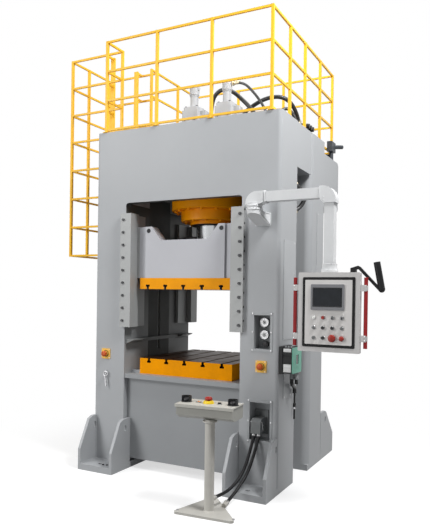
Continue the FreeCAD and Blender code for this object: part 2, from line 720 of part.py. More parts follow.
def slide_body():
    """Welded slide: a deck between two notched skins, set-back shoulders and guide ears."""
    half_d = SLIDE_BODY_D / 2
    body = block(-SLIDE_HALF_W, SLIDE_HALF_W, -half_d, half_d, SLIDE_PLATE_TOP_Z, SLIDE_NOTCH_Z)
    ear_y = HALF_D - GIB_NOSE_D - GIB_CLEARANCE
    ears = []
    for hand in (1, -1):
        y0, y1 = sorted((hand * ear_y, hand * (ear_y - SLIDE_EAR_D)))
        reach = SLIDE_HALF_W + SLIDE_EAR_OUT
        ears.append(block(-reach, reach, y0, y1, SLIDE_PLATE_TOP_Z, SLIDE_TOP_Z))
        s0, s1 = sorted((hand * half_d, hand * (half_d - SLIDE_SKIN_T)))
        ears.append(block(-SLIDE_HALF_W, SLIDE_HALF_W, s0, s1, SLIDE_PLATE_TOP_Z, SLIDE_TOP_Z))
        f0, f1 = sorted((hand * half_d, hand * (half_d + SLIDE_FACE_T)))
        ears.append(block(-SLIDE_FACE_W / 2, SLIDE_FACE_W / 2, f0, f1, SLIDE_PLATE_TOP_Z, SLIDE_TOP_Z))
    body = fuse(body, *ears)
    reach_y = half_d + SLIDE_FACE_T + 1
    notch = [V(-SLIDE_NOTCH_TOP_W / 2, -reach_y, SLIDE_TOP_Z + 1),
             V(-SLIDE_NOTCH_BOTTOM_W / 2, -reach_y, SLIDE_NOTCH_Z),
             V(SLIDE_NOTCH_BOTTOM_W / 2, -reach_y, SLIDE_NOTCH_Z),
             V(SLIDE_NOTCH_TOP_W / 2, -reach_y, SLIDE_TOP_Z + 1)]
    body = body.cut(Part.Face(Part.makePolygon(notch + [notch[0]])).extrude(V(0, 2 * reach_y, 0)))
    for hand in (1, -1):
        eye = round_bar(SLIDE_EYE_R, V(hand * SLIDE_EYE_X, -reach_y, SLIDE_TOP_Z - SLIDE_EYE_DROP),
                        V(0, 1, 0), 2 * reach_y)
        body = body.cut(eye)
    return body


def slide_plate():
    half = SLIDE_PLATE_D / 2
    body = block(-SLIDE_PLATE_W / 2, SLIDE_PLATE_W / 2, -half, half, SLIDE_PLATE_BOTTOM_Z, SLIDE_PLATE_TOP_Z)
    for cutter in t_slots(-half - 1, half + 1, SLIDE_PLATE_BOTTOM_Z, 1):
        body = body.cut(cutter)
    return body


# ---------------------------------------------------------------- cylinder
def cylinder_barrel():
    top = BARREL_TOP_Z
    wall = [(BARREL_R, BARREL_BOTTOM_Z), (BARREL_R, top), (0, top), (0, top - BARREL_CAP_T),
            (BORE_R, top - BARREL_CAP_T), (BORE_R, BARREL_BOTTOM_Z)]
    return turned(wall, V(0, 0, 0))


def cylinder_flange():
    """Clamping ring under the crown's floor."""
    inner = BARREL_R + SLIP
    wall = [(inner, BARREL_BOTTOM_Z), (FLANGE_R - 8, BARREL_BOTTOM_Z), (FLANGE_R, BARREL_BOTTOM_Z + 8),
            (FLANGE_R, CROWN_FLOOR_Z), (inner, CROWN_FLOOR_Z)]
    return turned(wall, V(0, 0, 0))


def gland_ring():
    """Bolted gland under the barrel that guides and seals the ram."""
    bottom = BARREL_BOTTOM_Z - GLAND_H
    inner = RAM_R + RAM_CLEARANCE
    wall = [(inner, bottom - GLAND_LIP_H), (GLAND_LIP_R, bottom - GLAND_LIP_H), (GLAND_LIP_R, bottom),
            (GLAND_R - 6, bottom), (GLAND_R, bottom + 6), (GLAND_R, BARREL_BOTTOM_Z),
            (inner, BARREL_BOTTOM_Z)]
    return turned(wall, V(0, 0, 0))


def ram():
    piston_r = BORE_R - RAM_CLEARANCE
    wall = [(0, SLIDE_NOTCH_Z), (RAM_R, SLIDE_NOTCH_Z), (RAM_R, RAM_TOP_Z - PISTON_H),
            (piston_r, RAM_TOP_Z - PISTON_H), (piston_r, RAM_TOP_Z), (0, RAM_TOP_Z)]
    return turned(wall, V(0, 0, 0))


# ---------------------------------------------------------------- crown equipment
def upright(x, y, z0, z1, width=POST_W):
    return centred(x, y, (z0 + z1) / 2, width, width, z1 - z0)


def rail_x(x0, x1, y, z):
    return block(x0, x1, y - RAIL_W / 2, y + RAIL_W / 2, z - RAIL_W / 2, z + RAIL_W / 2)


def rail_y(x, y0, y1, z):
    return block(x - RAIL_W / 2, x + RAIL_W / 2, y0, y1, z - RAIL_W / 2, z + RAIL_W / 2)


def rail_heights():
    return [RAIL_TOP_Z - i * RAIL_STEP for i in range(RAIL_LEVELS)]


def spans(stops):
    """Gaps between the posts that stand at these stops along a run."""
    return [(a + POST_W / 2, b - POST_W / 2) for a, b in zip(stops, stops[1:])]


def top_railing():
    """Square-tube railing round the crown, open on the left where the ladder comes up."""
    front_y = FRONT_Y + RAIL_FRONT_INSET
    top = RAIL_TOP_Z + RAIL_W / 2
    tubes = []
    cross_stops = [-RAIL_X + i * 2 * RAIL_X / 3 for i in range(4)]
    for y, foot_z in ((front_y, FRAME_H), (RAIL_REAR_Y, TANK_TOP_Z)):
        tubes += [upright(x, y, foot_z, top) for x in cross_stops]
        tubes += [rail_x(x0, x1, y, z) for z in rail_heights() for x0, x1 in spans(cross_stops)]
    right = [front_y, *SIDE_POST_Y, RAIL_REAR_Y]
    left = [LANDING_POST_Y, CAGE_REAR_Y, SIDE_POST_Y[-1], RAIL_REAR_Y]
    gate = [front_y, CAGE_FRONT_Y]
    for x, stops in ((RAIL_X, right), (-RAIL_X, left), (-RAIL_X, gate)):
        for y in stops:
            if y not in (front_y, RAIL_REAR_Y):
                tubes.append(upright(x, y, FRAME_H if y < HALF_D else TANK_TOP_Z, top))
        tubes += [rail_y(x, y0, y1, z) for z in rail_heights() for y0, y1 in spans(stops)]
    return Part.makeCompound(tubes)


def access_ladder():
    """Fixed ladder up the left side with a square-tube cage, as separate welded tubes."""
    stile_x = -HALF_W - LADDER_OFF
    middle_y = (CAGE_FRONT_Y + CAGE_REAR_Y) / 2
    top = RAIL_TOP_Z + RAIL_W / 2
    pad_x = -HALF_W - LADDER_PAD_T
    tubes = []
    for hand in (1, -1):
        y = middle_y + hand * LADDER_WIDTH / 2
        middle_z = (LADDER_BOTTOM_Z + top) / 2
        tubes.append(centred(stile_x, y, middle_z, STILE[0], STILE[1], top - LADDER_BOTTOM_Z))
        for z in (LADDER_BOTTOM_Z + RUNG_STEP, GAP_TOP_Z + RUNG_STEP):
            half_t = STILE[1] / 2
            tubes.append(block(stile_x + STILE[0] / 2, pad_x, y - half_t, y + half_t, z - 20, z + 20))
            pad_y = sorted((y - hand * STILE[1] / 2, y + hand * LADDER_PAD_L))
            tubes.append(block(pad_x, -HALF_W, *pad_y, z - 20, z + 20))
    clear_w = LADDER_WIDTH - STILE[1]
    for i in range(round((FRAME_H - LADDER_BOTTOM_Z) / RUNG_STEP)):
        z = LADDER_BOTTOM_Z + RUNG_STEP / 2 + i * RUNG_STEP
        tubes.append(round_bar(RUNG_R, V(stile_x, middle_y - clear_w / 2, z), V(0, 1, 0), clear_w))
    levels = rail_heights()
    levels += [levels[-1] - (i + 1) * CAGE_STEP for i in range(CAGE_LEVELS_BELOW)]
    cage_stops = [CAGE_FRONT_Y, CAGE_MIDDLE_Y, CAGE_REAR_Y]
    tubes += [upright(-CAGE_OUT_X, y, levels[-1] - RAIL_W / 2, top) for y in cage_stops]
    for z in levels:
        end = -RAIL_X - POST_W / 2 if z > FRAME_H else -HALF_W
        tubes += [rail_y(-CAGE_OUT_X, y0, y1, z) for y0, y1 in spans(cage_stops)]
        for hand, y in ((-1, CAGE_FRONT_Y), (1, CAGE_REAR_Y)):
            tubes.append(rail_x(-CAGE_OUT_X + POST_W / 2, end, y, z))
            stile_y = middle_y + hand * (LADDER_WIDTH + STILE[1]) / 2
            tubes.append(rail_y(stile_x, *sorted((stile_y, y - hand * RAIL_W / 2)), z))
    return Part.makeCompound(tubes)


def oil_tank():
    """Prefill tank hung on the rear of the crown, with lifting lugs and a drain."""
    body = rounded_box(-TANK_W / 2, TANK_W / 2, REAR_Y, REAR_Y + TANK_D, TANK_BOTTOM_Z, TANK_TOP_Z,
                       TANK_EDGE_R, "x")
    square = block(-TANK_W / 2, TANK_W / 2, REAR_Y, REAR_Y + TANK_EDGE_R, TANK_BOTTOM_Z, TANK_TOP_Z)
    pieces = [square]
    for hand in (1, -1):
        lug_x = hand * (TANK_W / 2 - 60)
        pieces.append(centred(lug_x, REAR_Y + TANK_D + 18, TANK_TOP_Z - 110, 14, 60, 60))
        pieces.append(round_bar(16, V(lug_x, REAR_Y + TANK_D - 70, TANK_BOTTOM_Z - 24), V(0, 0, 1), 30))
    return fuse(body, *pieces)


def prefill_valves():
    """Two valve bodies on the cylinder's head, each with an offset neck, cap and side ear."""
    valves = []
    for x in VALVE_X:
        bx, by, bz = VALVE_BLOCK
        x0, x1 = x - bx / 2, x + bx / 2
        y0, y1 = VALVE_Y - by / 2, VALVE_Y + by / 2
        shoulder_z = FRAME_H + bz - 34
        body = rounded_box(x0, x1, y0, y1, FRAME_H, shoulder_z, 12)
        shoulder = rounded_box(x0 + 10, x1 - 10, y0 + 10, y1 - 10, shoulder_z, FRAME_H + bz, 20)
        neck_at = V(x, VALVE_Y, FRAME_H + bz)
        neck = round_bar(VALVE_NECK_R, neck_at, V(0, 0, 1), VALVE_NECK_H)
        cap = round_bar(VALVE_CAP_R, neck_at + V(0, 0, VALVE_NECK_H), V(0, 0, 1), VALVE_CAP_H)
        ear = centred(x + bx / 2 + 30, VALVE_Y, FRAME_H + bz - 120, 60, 90, 150)
        port = round_bar(VALVE_NECK_R, V(x, VALVE_Y + by / 2, FRAME_H + bz - VALVE_PORT_DROP),
                         V(0, 1, 0), VALVE_PORT_L)
        pilot = round_bar(HOSE_THIN_R + 7, V(x, VALVE_Y, pilot_port_z()), V(1, 0, 0), VALVE_CAP_R + 6)
        valves.append(fuse(body, shoulder, neck, cap, ear, port, pilot))
    return Part.makeCompound(valves)


def pump_unit():
    """Motor, bell housing and pump on the tank, with the suction valve outside the railing."""
    base_top = TANK_TOP_Z + PUMP_BASE[2]
    base = centred(PUMP_X, PUMP_Y, TANK_TOP_Z + PUMP_BASE[2] / 2, *PUMP_BASE)
    axis_z = base_top + MOTOR_R + 10
    back = PUMP_Y - MOTOR_BACK
    motor = round_bar(MOTOR_R, V(PUMP_X, back, axis_z), V(0, 1, 0), MOTOR_L * 0.7)
    foot_block = centred(PUMP_X, PUMP_Y - 40, base_top + MOTOR_R / 2, *PUMP_FOOT, MOTOR_R)
    bell = round_bar(MOTOR_R * 0.7, V(PUMP_X, back + MOTOR_L * 0.7, axis_z), V(0, 1, 0), 50)
    pump = round_bar(MOTOR_R * 0.5, V(PUMP_X, PUMP_Y + PUMP_AHEAD, axis_z), V(0, 1, 0), 50)
    box = centred(PUMP_X + MOTOR_R - 6, PUMP_Y - 60, axis_z + 10, *TERMINAL_BOX)
    pipe_y = PUMP_Y + SUCTION_OFF
    pipe = round_bar(16, V(PUMP_X, pipe_y, TANK_TOP_Z + SUCTION_Z), V(1, 0, 0), VALVE_POST_X - PUMP_X)
    post = round_bar(24, V(VALVE_POST_X, pipe_y, TANK_TOP_Z), V(0, 0, 1), SUCTION_BODY[2])
    body = centred(VALVE_POST_X, pipe_y, TANK_TOP_Z + 158, *SUCTION_BODY)
    handle = round_bar(22, V(VALVE_POST_X, pipe_y + 30, TANK_TOP_Z + 166), V(0.55, 0.8, 0.12), GRIP_BAR_L)
    return fuse(base, motor, foot_block, bell, pump, box, pipe, post, body, handle)


def valve_manifold():
    """Drilled block on the crown's right rear with three solenoid valves and hose fittings."""
    x, y = MANIFOLD
    body = centred(x, y, FRAME_H + MANIFOLD_SIZE[2] / 2, *MANIFOLD_SIZE)
    pieces = []
    for i in range(3):
        vy = y - 42 + i * 70
        pieces.append(rounded_box(x - 46, x + 46, vy - 30, vy + 30, FRAME_H + MANIFOLD_SIZE[2],
                                  FRAME_H + MANIFOLD_SIZE[2] + 62, 10))
        pieces.append(round_bar(24, V(x + 46, vy, FRAME_H + MANIFOLD_SIZE[2] + 32), V(1, 0, 0), 52))
    return fuse(body, *pieces)


def shelf_bracket():
    """Tool shelf on the left window wall: two folded end pieces joined by a bar."""
    wall = -HALF_WINDOW
    pieces = []
    for face, (near, far) in zip((FRONT_Y, REAR_Y), SHELF_ENDS):
        y0, y1 = face + near, face + far
        lip = wall + SHELF_W
        outline = [V(wall, y0, SHELF_Z), V(lip, y0, SHELF_Z + 40), V(lip, y0, SHELF_Z + 48),
                   V(wall, y0, SHELF_Z + 48)]
        pieces.append(Part.Face(Part.makePolygon(outline + [outline[0]])).extrude(V(0, y1 - y0, 0)))
    bar_from, bar_to = FRONT_Y + SHELF_ENDS[0][1], REAR_Y + SHELF_ENDS[1][0]
    pieces.append(block(wall, wall + 40, bar_from, bar_to, SHELF_Z + 12, SHELF_Z + 48))
    return fuse(*pieces)


def bypass_hose():
    """Loop that rises from the cylinder's cap behind the right valve and lands on the crown."""
    points = [V(x, y, FRAME_H + z) for x, y, z in BYPASS_COURSE]
    return hose("bypass hose", route(points, V(0, 0, 1), V(0, 0, -1), HOSE_RUN), HOSE_R)


def pilot_hose():
    """Thin hose from the right valve's cap down to the crown."""
    start = V(VALVE_X[1] + VALVE_CAP_R + 6, VALVE_Y, pilot_port_z())
    points = [start] + [V(x, y, FRAME_H + z) for x, y, z in PILOT_COURSE]
    return hose("pilot hose", route(points, V(1, 0, 0), V(0, 0, -1), HOSE_RUN), HOSE_THIN_R)


def pilot_port_z():
    return FRAME_H + VALVE_BLOCK[2] + VALVE_NECK_H + VALVE_CAP_H - 26


def return_hose():
    """Thick hose from the right valve's rear port over to the valve block."""
    port_y = VALVE_Y + VALVE_BLOCK[1] / 2 + VALVE_PORT_L
    start = V(VALVE_X[1], port_y, FRAME_H + VALVE_BLOCK[2] - VALVE_PORT_DROP)
    end = V(MANIFOLD[0], MANIFOLD[1] - MANIFOLD_RETURN_OFF, FRAME_H + MANIFOLD_SIZE[2])
    points = [start] + [V(x, y, FRAME_H + z) for x, y, z in RETURN_COURSE] + [end]
    return hose("return hose", route(points, V(0, 1, 0), V(0, 0, -1), HOSE_RUN), HOSE_R)


def pressure_hose(i):
    """One of three hoses that arch from the crown to the valve block's face."""
    x, y = MANIFOLD
    start = V(PRESSURE_FROM[0] + i * PRESSURE_STEP[0], PRESSURE_FROM[1] + i * PRESSURE_STEP[1], FRAME_H)
    end = V(x + (i - 1) * MANIFOLD_SIZE[0] / 3, y - MANIFOLD_SIZE[1] / 2, FRAME_H + MANIFOLD_PORT_H)
    middle = (start + end) / 2
    points = [start, V(middle.x, middle.y - HOSE_R, FRAME_H + PRESSURE_RISE[i]), end]
    return hose(f"pressure hose {i + 1}", route(points, V(0, 0, 1), V(0, 1, 0), HOSE_RUN), HOSE_R - 4)


def crown_hoses():
    """All hoses on the crown, as separate solids."""
    hoses = [bypass_hose(), pilot_hose(), return_hose()]
    hoses += [pressure_hose(i) for i in range(3)]
    return Part.makeCompound(hoses)


def gap_hose():
    """Hose loop in the side gap between the portals."""
    x = HALF_W - 45
    y = FRONT_BACK_Y
    high, middle, low = (GAP_TOP_Z - drop for drop in GAP_HOSE_DROP)
    points = [V(x, y, high), V(x + GAP_HOSE_BOW[0], y + GAP_HOSE_BOW[1], middle), V(x, y, low)]
    return hose("gap hose", route(points, V(0, 1, 0), V(0, -1, 0), HOSE_RUN), HOSE_R)


# ---------------------------------------------------------------- right column: recesses
def recess_room(x, z, opening):
    half_w = opening[0] / 2 + RECESS_WALL_T
    half_h = opening[1] / 2 + RECESS_WALL_T
    return block(x - half_w, x + half_w, FRONT_Y - 1, FRONT_Y + RECESS_D, z - half_h, z + half_h)


def recess_panel(x, z, panel, opening):
    """Flanged sheet box let into the column, held by six screws."""
    tray_w = opening[0] / 2 + RECESS_WALL_T
    tray_h = opening[1] / 2 + RECESS_WALL_T
    flange = block(x - panel[0] / 2, x + panel[0] / 2, FRONT_Y - RECESS_FRAME_T, FRONT_Y,
                   z - panel[1] / 2, z + panel[1] / 2)
    tray = block(x - tray_w, x + tray_w, FRONT_Y, FRONT_Y + RECESS_D, z - tray_h, z + tray_h)
    mouth = block(x - opening[0] / 2, x + opening[0] / 2, FRONT_Y - RECESS_FRAME_T - 1,
                  FRONT_Y + RECESS_D - RECESS_WALL_T, z - opening[1] / 2, z + opening[1] / 2)
    screws = []
    screw_x = (panel[0] + opening[0]) / 4
    screw_z = (panel[1] + opening[1]) / 4
    for hand in (1, -1):
        for level in (-1, 0, 1):
            at = V(x + hand * screw_x, FRONT_Y - RECESS_FRAME_T, z + level * screw_z)
            screws.append(round_bar(RECESS_SCREW_R, at, V(0, -1, 0), 3))
    return fuse(flange, tray).cut(mouth).multiFuse(screws)


def gauge_panel():
    return recess_panel(RECESS_X, GAUGE_PANEL_Z, GAUGE_PANEL, GAUGE_OPENING)


def pressure_gauges():
    """Two round gauges on short stems, standing out of the recess's back wall."""
    gauges = []
    back_y = FRONT_Y + RECESS_D - RECESS_WALL_T
    for z in GAUGE_Z:
        base = V(RECESS_X + 16, back_y, z)
        stem = round_bar(10, base, V(0, -1, 0), back_y - FRONT_Y - 12 - GAUGE_H)
        case_back = base + V(0, -(back_y - FRONT_Y - 12 - GAUGE_H), 0)
        case = round_bar(GAUGE_R, case_back, V(0, -1, 0), GAUGE_H)
        dial = round_bar(GAUGE_R - 5, case_back + V(0, -GAUGE_H, 0), V(0, 1, 0), 4)
        gauges.append(case.cut(dial).fuse(stem))
    return Part.makeCompound(gauges)


def regulator_knob():
    """Fluted knob of the pressure regulator; turns about its own axis."""
    back_y = FRONT_Y + RECESS_D - RECESS_WALL_T
    x = RECESS_X + 12
    collar = round_bar(REGULATOR_R - 9, V(x, back_y - SWIVEL_GAP, REGULATOR_Z), V(0, -1, 0), 30)
    knob = round_bar(REGULATOR_R, V(x, back_y - 30, REGULATOR_Z), V(0, -1, 0), REGULATOR_H)
    for k in range(12):
        angle = math.radians(30 * k)
        at = V(x + (REGULATOR_R + 1) * math.cos(angle), back_y - 29,
               REGULATOR_Z + (REGULATOR_R + 1) * math.sin(angle))
        flute = round_bar(3, at, V(0, -1, 0), REGULATOR_H + 2)
        knob = knob.cut(flute)
    return fuse(knob, collar)


def socket_panel():
    return recess_panel(SOCKET_PANEL_X, SOCKET_PANEL_Z, SOCKET_PANEL, SOCKET_OPENING)


def connector_hood():
    """Cast hood with a sloping top, its latch lever and two cable glands underneath."""
    face_y = FRONT_Y - HOOD_OUT
    x0 = HOOD_X - HOOD_W / 2
    top = HOOD_BOTTOM_Z + HOOD_H
    outline = [V(x0, face_y, HOOD_BOTTOM_Z), V(x0, HOOD_BACK_Y, HOOD_BOTTOM_Z), V(x0, HOOD_BACK_Y, top),
               V(x0, face_y + 34, top), V(x0, face_y, top - 30)]
    shell = Part.Face(Part.makePolygon(outline + [outline[0]])).extrude(V(HOOD_W, 0, 0))
    lever = block(x0 - 6, x0 + HOOD_W + 6, face_y + 40, face_y + 58, HOOD_BOTTOM_Z + 40, HOOD_BOTTOM_Z + 104)
    plate = block(HOOD_X - HOOD_PLATE_W / 2, HOOD_X + HOOD_PLATE_W / 2, HOOD_BACK_Y - 12, HOOD_BACK_Y,
                  HOOD_BOTTOM_Z - 24, top + 62)
    nuts = []
    for x in GLAND_X:
        mouth = gland_mouth(x)
        back = gland_direction() * -1
        nuts.append(round_bar(GLAND_NUT_R, mouth + back * GLAND_NUT_H * 0.5, back, GLAND_NUT_H * 0.9))
        nuts.append(round_bar(GLAND_NUT_R - 3, mouth, back, GLAND_NUT_H))
    return fuse(shell, lever, plate, *nuts)


def gland_direction():
    tilt = math.radians(GLAND_TILT)
    return V(0, -math.sin(tilt), -math.cos(tilt))


def gland_mouth(x):
    return V(x, FRONT_Y - GLAND_OUT, HOOD_BOTTOM_Z - GLAND_NUT_H * math.cos(math.radians(GLAND_TILT)))


# ---------------------------------------------------------------- emergency stops
def stop_centre(side):
    if side == "left":
        return V(STOP_LEFT_X, FRONT_Y, STOP_LEFT_Z)
    return V(STOP_RIGHT_X, FRONT_Y, STOP_RIGHT_Z)


def estop_plates():
    """Square plates with a collar, one on each column."""
    plates = []
    for side in ("left", "right"):
        c = stop_centre(side)
        plate = rounded_box(c.x - STOP_PLATE / 2, c.x + STOP_PLATE / 2, c.y - STOP_PLATE_T, c.y,
                            c.z - STOP_PLATE / 2, c.z + STOP_PLATE / 2, 6, "y")
        collar = round_bar(STOP_COLLAR_R, c + V(0, -STOP_PLATE_T, 0), V(0, -1, 0), STOP_COLLAR_H)
        room = round_bar(STOP_STEM_R + SLIP, c, V(0, -1, 0), STOP_PLATE_T + STOP_COLLAR_H + 1)
        plates.append(plate.fuse(collar).cut(room))
    return Part.makeCompound(plates)


def mushroom(at, direction, stem_r, stem_l, head_r, head_h):
    """Push button head on a stem; at is the stem's inner end."""
    stem = round_bar(stem_r, at, direction, stem_l)
    head_base = at + direction * stem_l
    low = round_bar(head_r, head_base, direction, head_h * 0.55)
    crown_base = head_base + direction * head_h * 0.55
    crown = Part.makeCone(head_r, head_r * 0.72, head_h * 0.45, crown_base, direction)
    return fuse(stem, low, crown)


def column_stop(side):
    inner_end = stop_centre(side) + V(0, -STOP_TRAVEL - PRESS_GAP, 0)
    stem_l = STOP_PLATE_T + STOP_COLLAR_H + PRESS_GAP
    return mushroom(inner_end, V(0, -1, 0), STOP_STEM_R, stem_l, STOP_HEAD_R, STOP_HEAD_H)


# ---------------------------------------------------------------- relay unit
def relay_faces():
    front_y = FRONT_Y + RELAY_FRONT_SETBACK
    x0 = HALF_W + RELAY_BACK_T
    return x0, x0 + RELAY_W, front_y, front_y + RELAY_D, RELAY_Z, RELAY_Z + RELAY_H


def relay_unit():
    """Back plate, housing with a stepped terminal front, terminal screws and plugs below."""
    x0, x1, y0, y1, z0, z1 = relay_faces()
    back = block(HALF_W, x0, y0 - 6, y1 + 10, z0 - 8, z1 + 8)
    body = block(x0, x1 - RELAY_CAP_T, y0, y1, z0, z1)
    for level in (0.3, 0.6):
        groove_z = z1 - RELAY_H * level
        body = body.cut(block(x0 - 1, x1 + 1, y0 - 1, y0 + 8, groove_z - 8, groove_z))
    pieces = []
    for i in range(3):
        pieces.append(round_bar(7, V(x0 + 18 + 26 * i, y0 + 30, z1), V(0, 0, 1), 14))
    cover = rounded_box(x1 - RELAY_CAP_T, x1 + 6, y0, y1, z0, z1, 12, "x")
    cover = cover.cut(centred(x1 + 6, (y0 + y1) / 2, (z0 + z1) / 2 + 6, 8, *RELAY_WINDOW))
    plug_y = y1 - 44
    plug_x = x0 + PLUG_R + 3
    for x in (plug_x, plug_x + 2 * PLUG_R + 3):
        pieces.append(round_bar(PLUG_R, V(x, plug_y, z0), V(0, 0, -1), PLUG_L))
        pieces.append(round_bar(PLUG_R - 5, V(x, plug_y, z0 - PLUG_L), V(0, 0, -1), PLUG_L * 0.6))
    conduit_y = y1 + 110
    elbow_z = z0 - PLUG_L * 1.6
    low_end = V(x0 - 4, conduit_y, elbow_z - 60)
    bend = [V(plug_x, plug_y, z0 - PLUG_L), V(plug_x, plug_y, elbow_z), low_end,
            low_end + V(0, 0, -CONDUIT_L / 6)]
    ring = Part.Wire(Part.makeCircle(PLUG_R - 2, bend[0], V(0, 0, -1)))
    pieces.append(tube_path(bend)[0].makePipeShell([ring], True, False))
    pieces.append(round_bar(CONDUIT_R, low_end, V(0, 0, -1), CONDUIT_L))
    pieces.append(round_bar(CONDUIT_R + 5, low_end + V(0, 0, -CONDUIT_L / 2), V(0, 0, -1), 40))
    return fuse(back, body, cover, *pieces)


def side_covers():
    """Access covers screwed to the right side of the front and rear columns."""
    outer = HALF_W + COVER_T
    covers = []
    for start_y, (near, far), levels in ((FRONT_Y, COVER_UPPER_Y, COVER_UPPER_Z),
                                         (FRONT_Y, COVER_LOWER_Y, COVER_LOWER_Z),
                                         (REAR_FRONT_Y, COVER_REAR_Y, COVER_REAR_Z)):
        covers.append(block(HALF_W, outer, start_y + near, start_y + far, *levels))
    return Part.makeCompound(covers)


# ---------------------------------------------------------------- pendant arm
def wall_bracket():
    """Cast wall arm with a rounded nose, a sloping underside and a grooved neck."""
    nose_y = ARM_Y
    top = NECK_Z
    nose = V(BRACKET_X, nose_y, BRACKET_BOTTOM_Z)
    plan = fuse(round_bar(BRACKET_R, nose, V(0, 0, 1), top - BRACKET_BOTTOM_Z),
                block(BRACKET_X - BRACKET_R, BRACKET_X + BRACKET_R, nose_y, FRONT_Y, BRACKET_BOTTOM_Z, top))
    x0 = BRACKET_X - BRACKET_R - 1
    tip_y = nose_y - BRACKET_R
    wedge = [V(x0, tip_y - 1, BRACKET_BOTTOM_Z - 1), V(x0, FRONT_Y, BRACKET_BOTTOM_Z - 1),
             V(x0, FRONT_Y, BRACKET_BOTTOM_Z), V(x0, tip_y - 1, BRACKET_TIP_Z)]
    under = Part.Face(Part.makePolygon(wedge + [wedge[0]])).extrude(V(2 * BRACKET_R + 2, 0, 0))
    body = plan.cut(under)
    low = round_bar(BRACKET_R + 3, V(BRACKET_X, nose_y, top), V(0, 0, 1), NECK_H * 0.42)
    waist_base = V(BRACKET_X, nose_y, top + NECK_H * 0.42)
    waist = round_bar(BRACKET_R + 3 - NECK_GROOVE, waist_base, V(0, 0, 1), NECK_H * 0.16)
    high = round_bar(BRACKET_R + 1, V(BRACKET_X, nose_y, top + NECK_H * 0.58), V(0, 0, 1), NECK_H * 0.42)
    return fuse(body, low, waist, high)


def pendant_arm():
    """Swivelling arm: elbow on the neck, square tube, second elbow, drop tube and collar."""
    half_drop = DROP_W / 2
    reach = BRACKET_R
    y0 = ARM_Y - ELBOW_W / 2
    top = ARM_TUBE_TOP_Z + 6
    tube_start = BRACKET_X + reach + 30
    first = rounded_polygon([V(BRACKET_X - reach, y0, ELBOW_BOTTOM_Z),
                             V(BRACKET_X + reach, y0, ELBOW_BOTTOM_Z),
                             V(tube_start, y0, ARM_TUBE_BOTTOM_Z - 4), V(tube_start, y0, top),
                             V(BRACKET_X - reach, y0, top)], [0, 0, 0, 0, ELBOW_R]).extrude(V(0, ELBOW_W, 0))
    collar = round_bar(reach, V(BRACKET_X, ARM_Y, ELBOW_BOTTOM_Z), V(0, 0, 1), 14)
    second_x = DROP_X - half_drop - 38
    outer_x = DROP_X + half_drop + 14
    elbow_bottom = ARM_TUBE_BOTTOM_Z - 42
    second = rounded_polygon([V(second_x, y0, ARM_TUBE_BOTTOM_Z - 8), V(second_x + 34, y0, elbow_bottom),
                              V(outer_x, y0, elbow_bottom), V(outer_x, y0, top + 8),
                              V(second_x, y0, top + 8)],
                             [0, 0, 0, ELBOW_R + 18, 0]).extrude(V(0, ELBOW_W, 0))
    tube_l = second_x - tube_start + 2
    tube = centred((tube_start + second_x) / 2, ARM_Y, ARM_Z, tube_l, ARM_TUBE_W, ARM_TUBE_H)
    drop_l = elbow_bottom - DROP_BOTTOM_Z
    drop = centred(DROP_X, ARM_Y, DROP_BOTTOM_Z + drop_l / 2, DROP_W, DROP_W, drop_l)
    low = round_bar(COLLAR_R, V(DROP_X, ARM_Y, DROP_BOTTOM_Z - COLLAR_H), V(0, 0, 1), COLLAR_H * 0.4)
    high_base = V(DROP_X, ARM_Y, DROP_BOTTOM_Z - COLLAR_H * 0.6)
    high = round_bar(COLLAR_R - 6, high_base, V(0, 0, 1), COLLAR_H * 0.6)
    return fuse(first, collar, second, tube, drop, low, high)


# ---------------------------------------------------------------- operator panel
def panel_case():
    """Aluminium panel housing: front frame and a narrower case behind it, on the swivel collar."""
    y1 = PANEL_FRONT_Y + PANEL_FRAME_D
    frame = rounded_box(PANEL_X - PANEL_W / 2, PANEL_X + PANEL_W / 2, PANEL_FRONT_Y, y1,
                        PANEL_BOTTOM_Z, PANEL_TOP_Z, PANEL_EDGE_R, "y")
    case = rounded_box(PANEL_X - PANEL_W / 2 + PANEL_CASE_INSET, PANEL_X + PANEL_W / 2 - PANEL_CASE_INSET,
                       y1, y1 + PANEL_CASE_D, PANEL_BOTTOM_Z + PANEL_CASE_INSET, PANEL_TOP_Z - 2, 14, "y")
    top_plate = centred(DROP_X, ARM_Y, PANEL_TOP_Z - 6, 2 * COLLAR_R, 2 * COLLAR_R, 12)
    brackets = []
    for hand in (1, -1):
        for drop in HANDLE_BRACKET_DROP:
            x = PANEL_X + hand * (PANEL_W / 2 - HANDLE_BRACKET_W / 2 + HANDLE_GAP + HANDLE_W / 2 + 8)
            brackets.append(centred(x, PANEL_FRONT_Y + HANDLE_BRACKET_T / 2 + 6, PANEL_TOP_Z - drop,
                                    HANDLE_BRACKET_W, HANDLE_BRACKET_T, HANDLE_BRACKET_H))
    return fuse(frame, case, top_plate, *brackets)


def panel_door():
    """Raised door sheet in the frame, drilled for its push buttons."""
    y0 = DOOR_FRONT_Y
    inset = SEAL_INSET + SEAL_W
    door = rounded_box(PANEL_X - PANEL_W / 2 + inset, PANEL_X + PANEL_W / 2 - inset, y0, PANEL_FRONT_Y,
                       PANEL_BOTTOM_Z + inset, PANEL_TOP_Z - inset, 6, "y")
    for column in range(4):
        for row in range(3):
            at = button_place(column, row)
            door = door.cut(round_bar(BUTTON_STEM_R + SLIP, at + V(0, -1, 0), V(0, 1, 0), DOOR_T + 1.5))
    return door


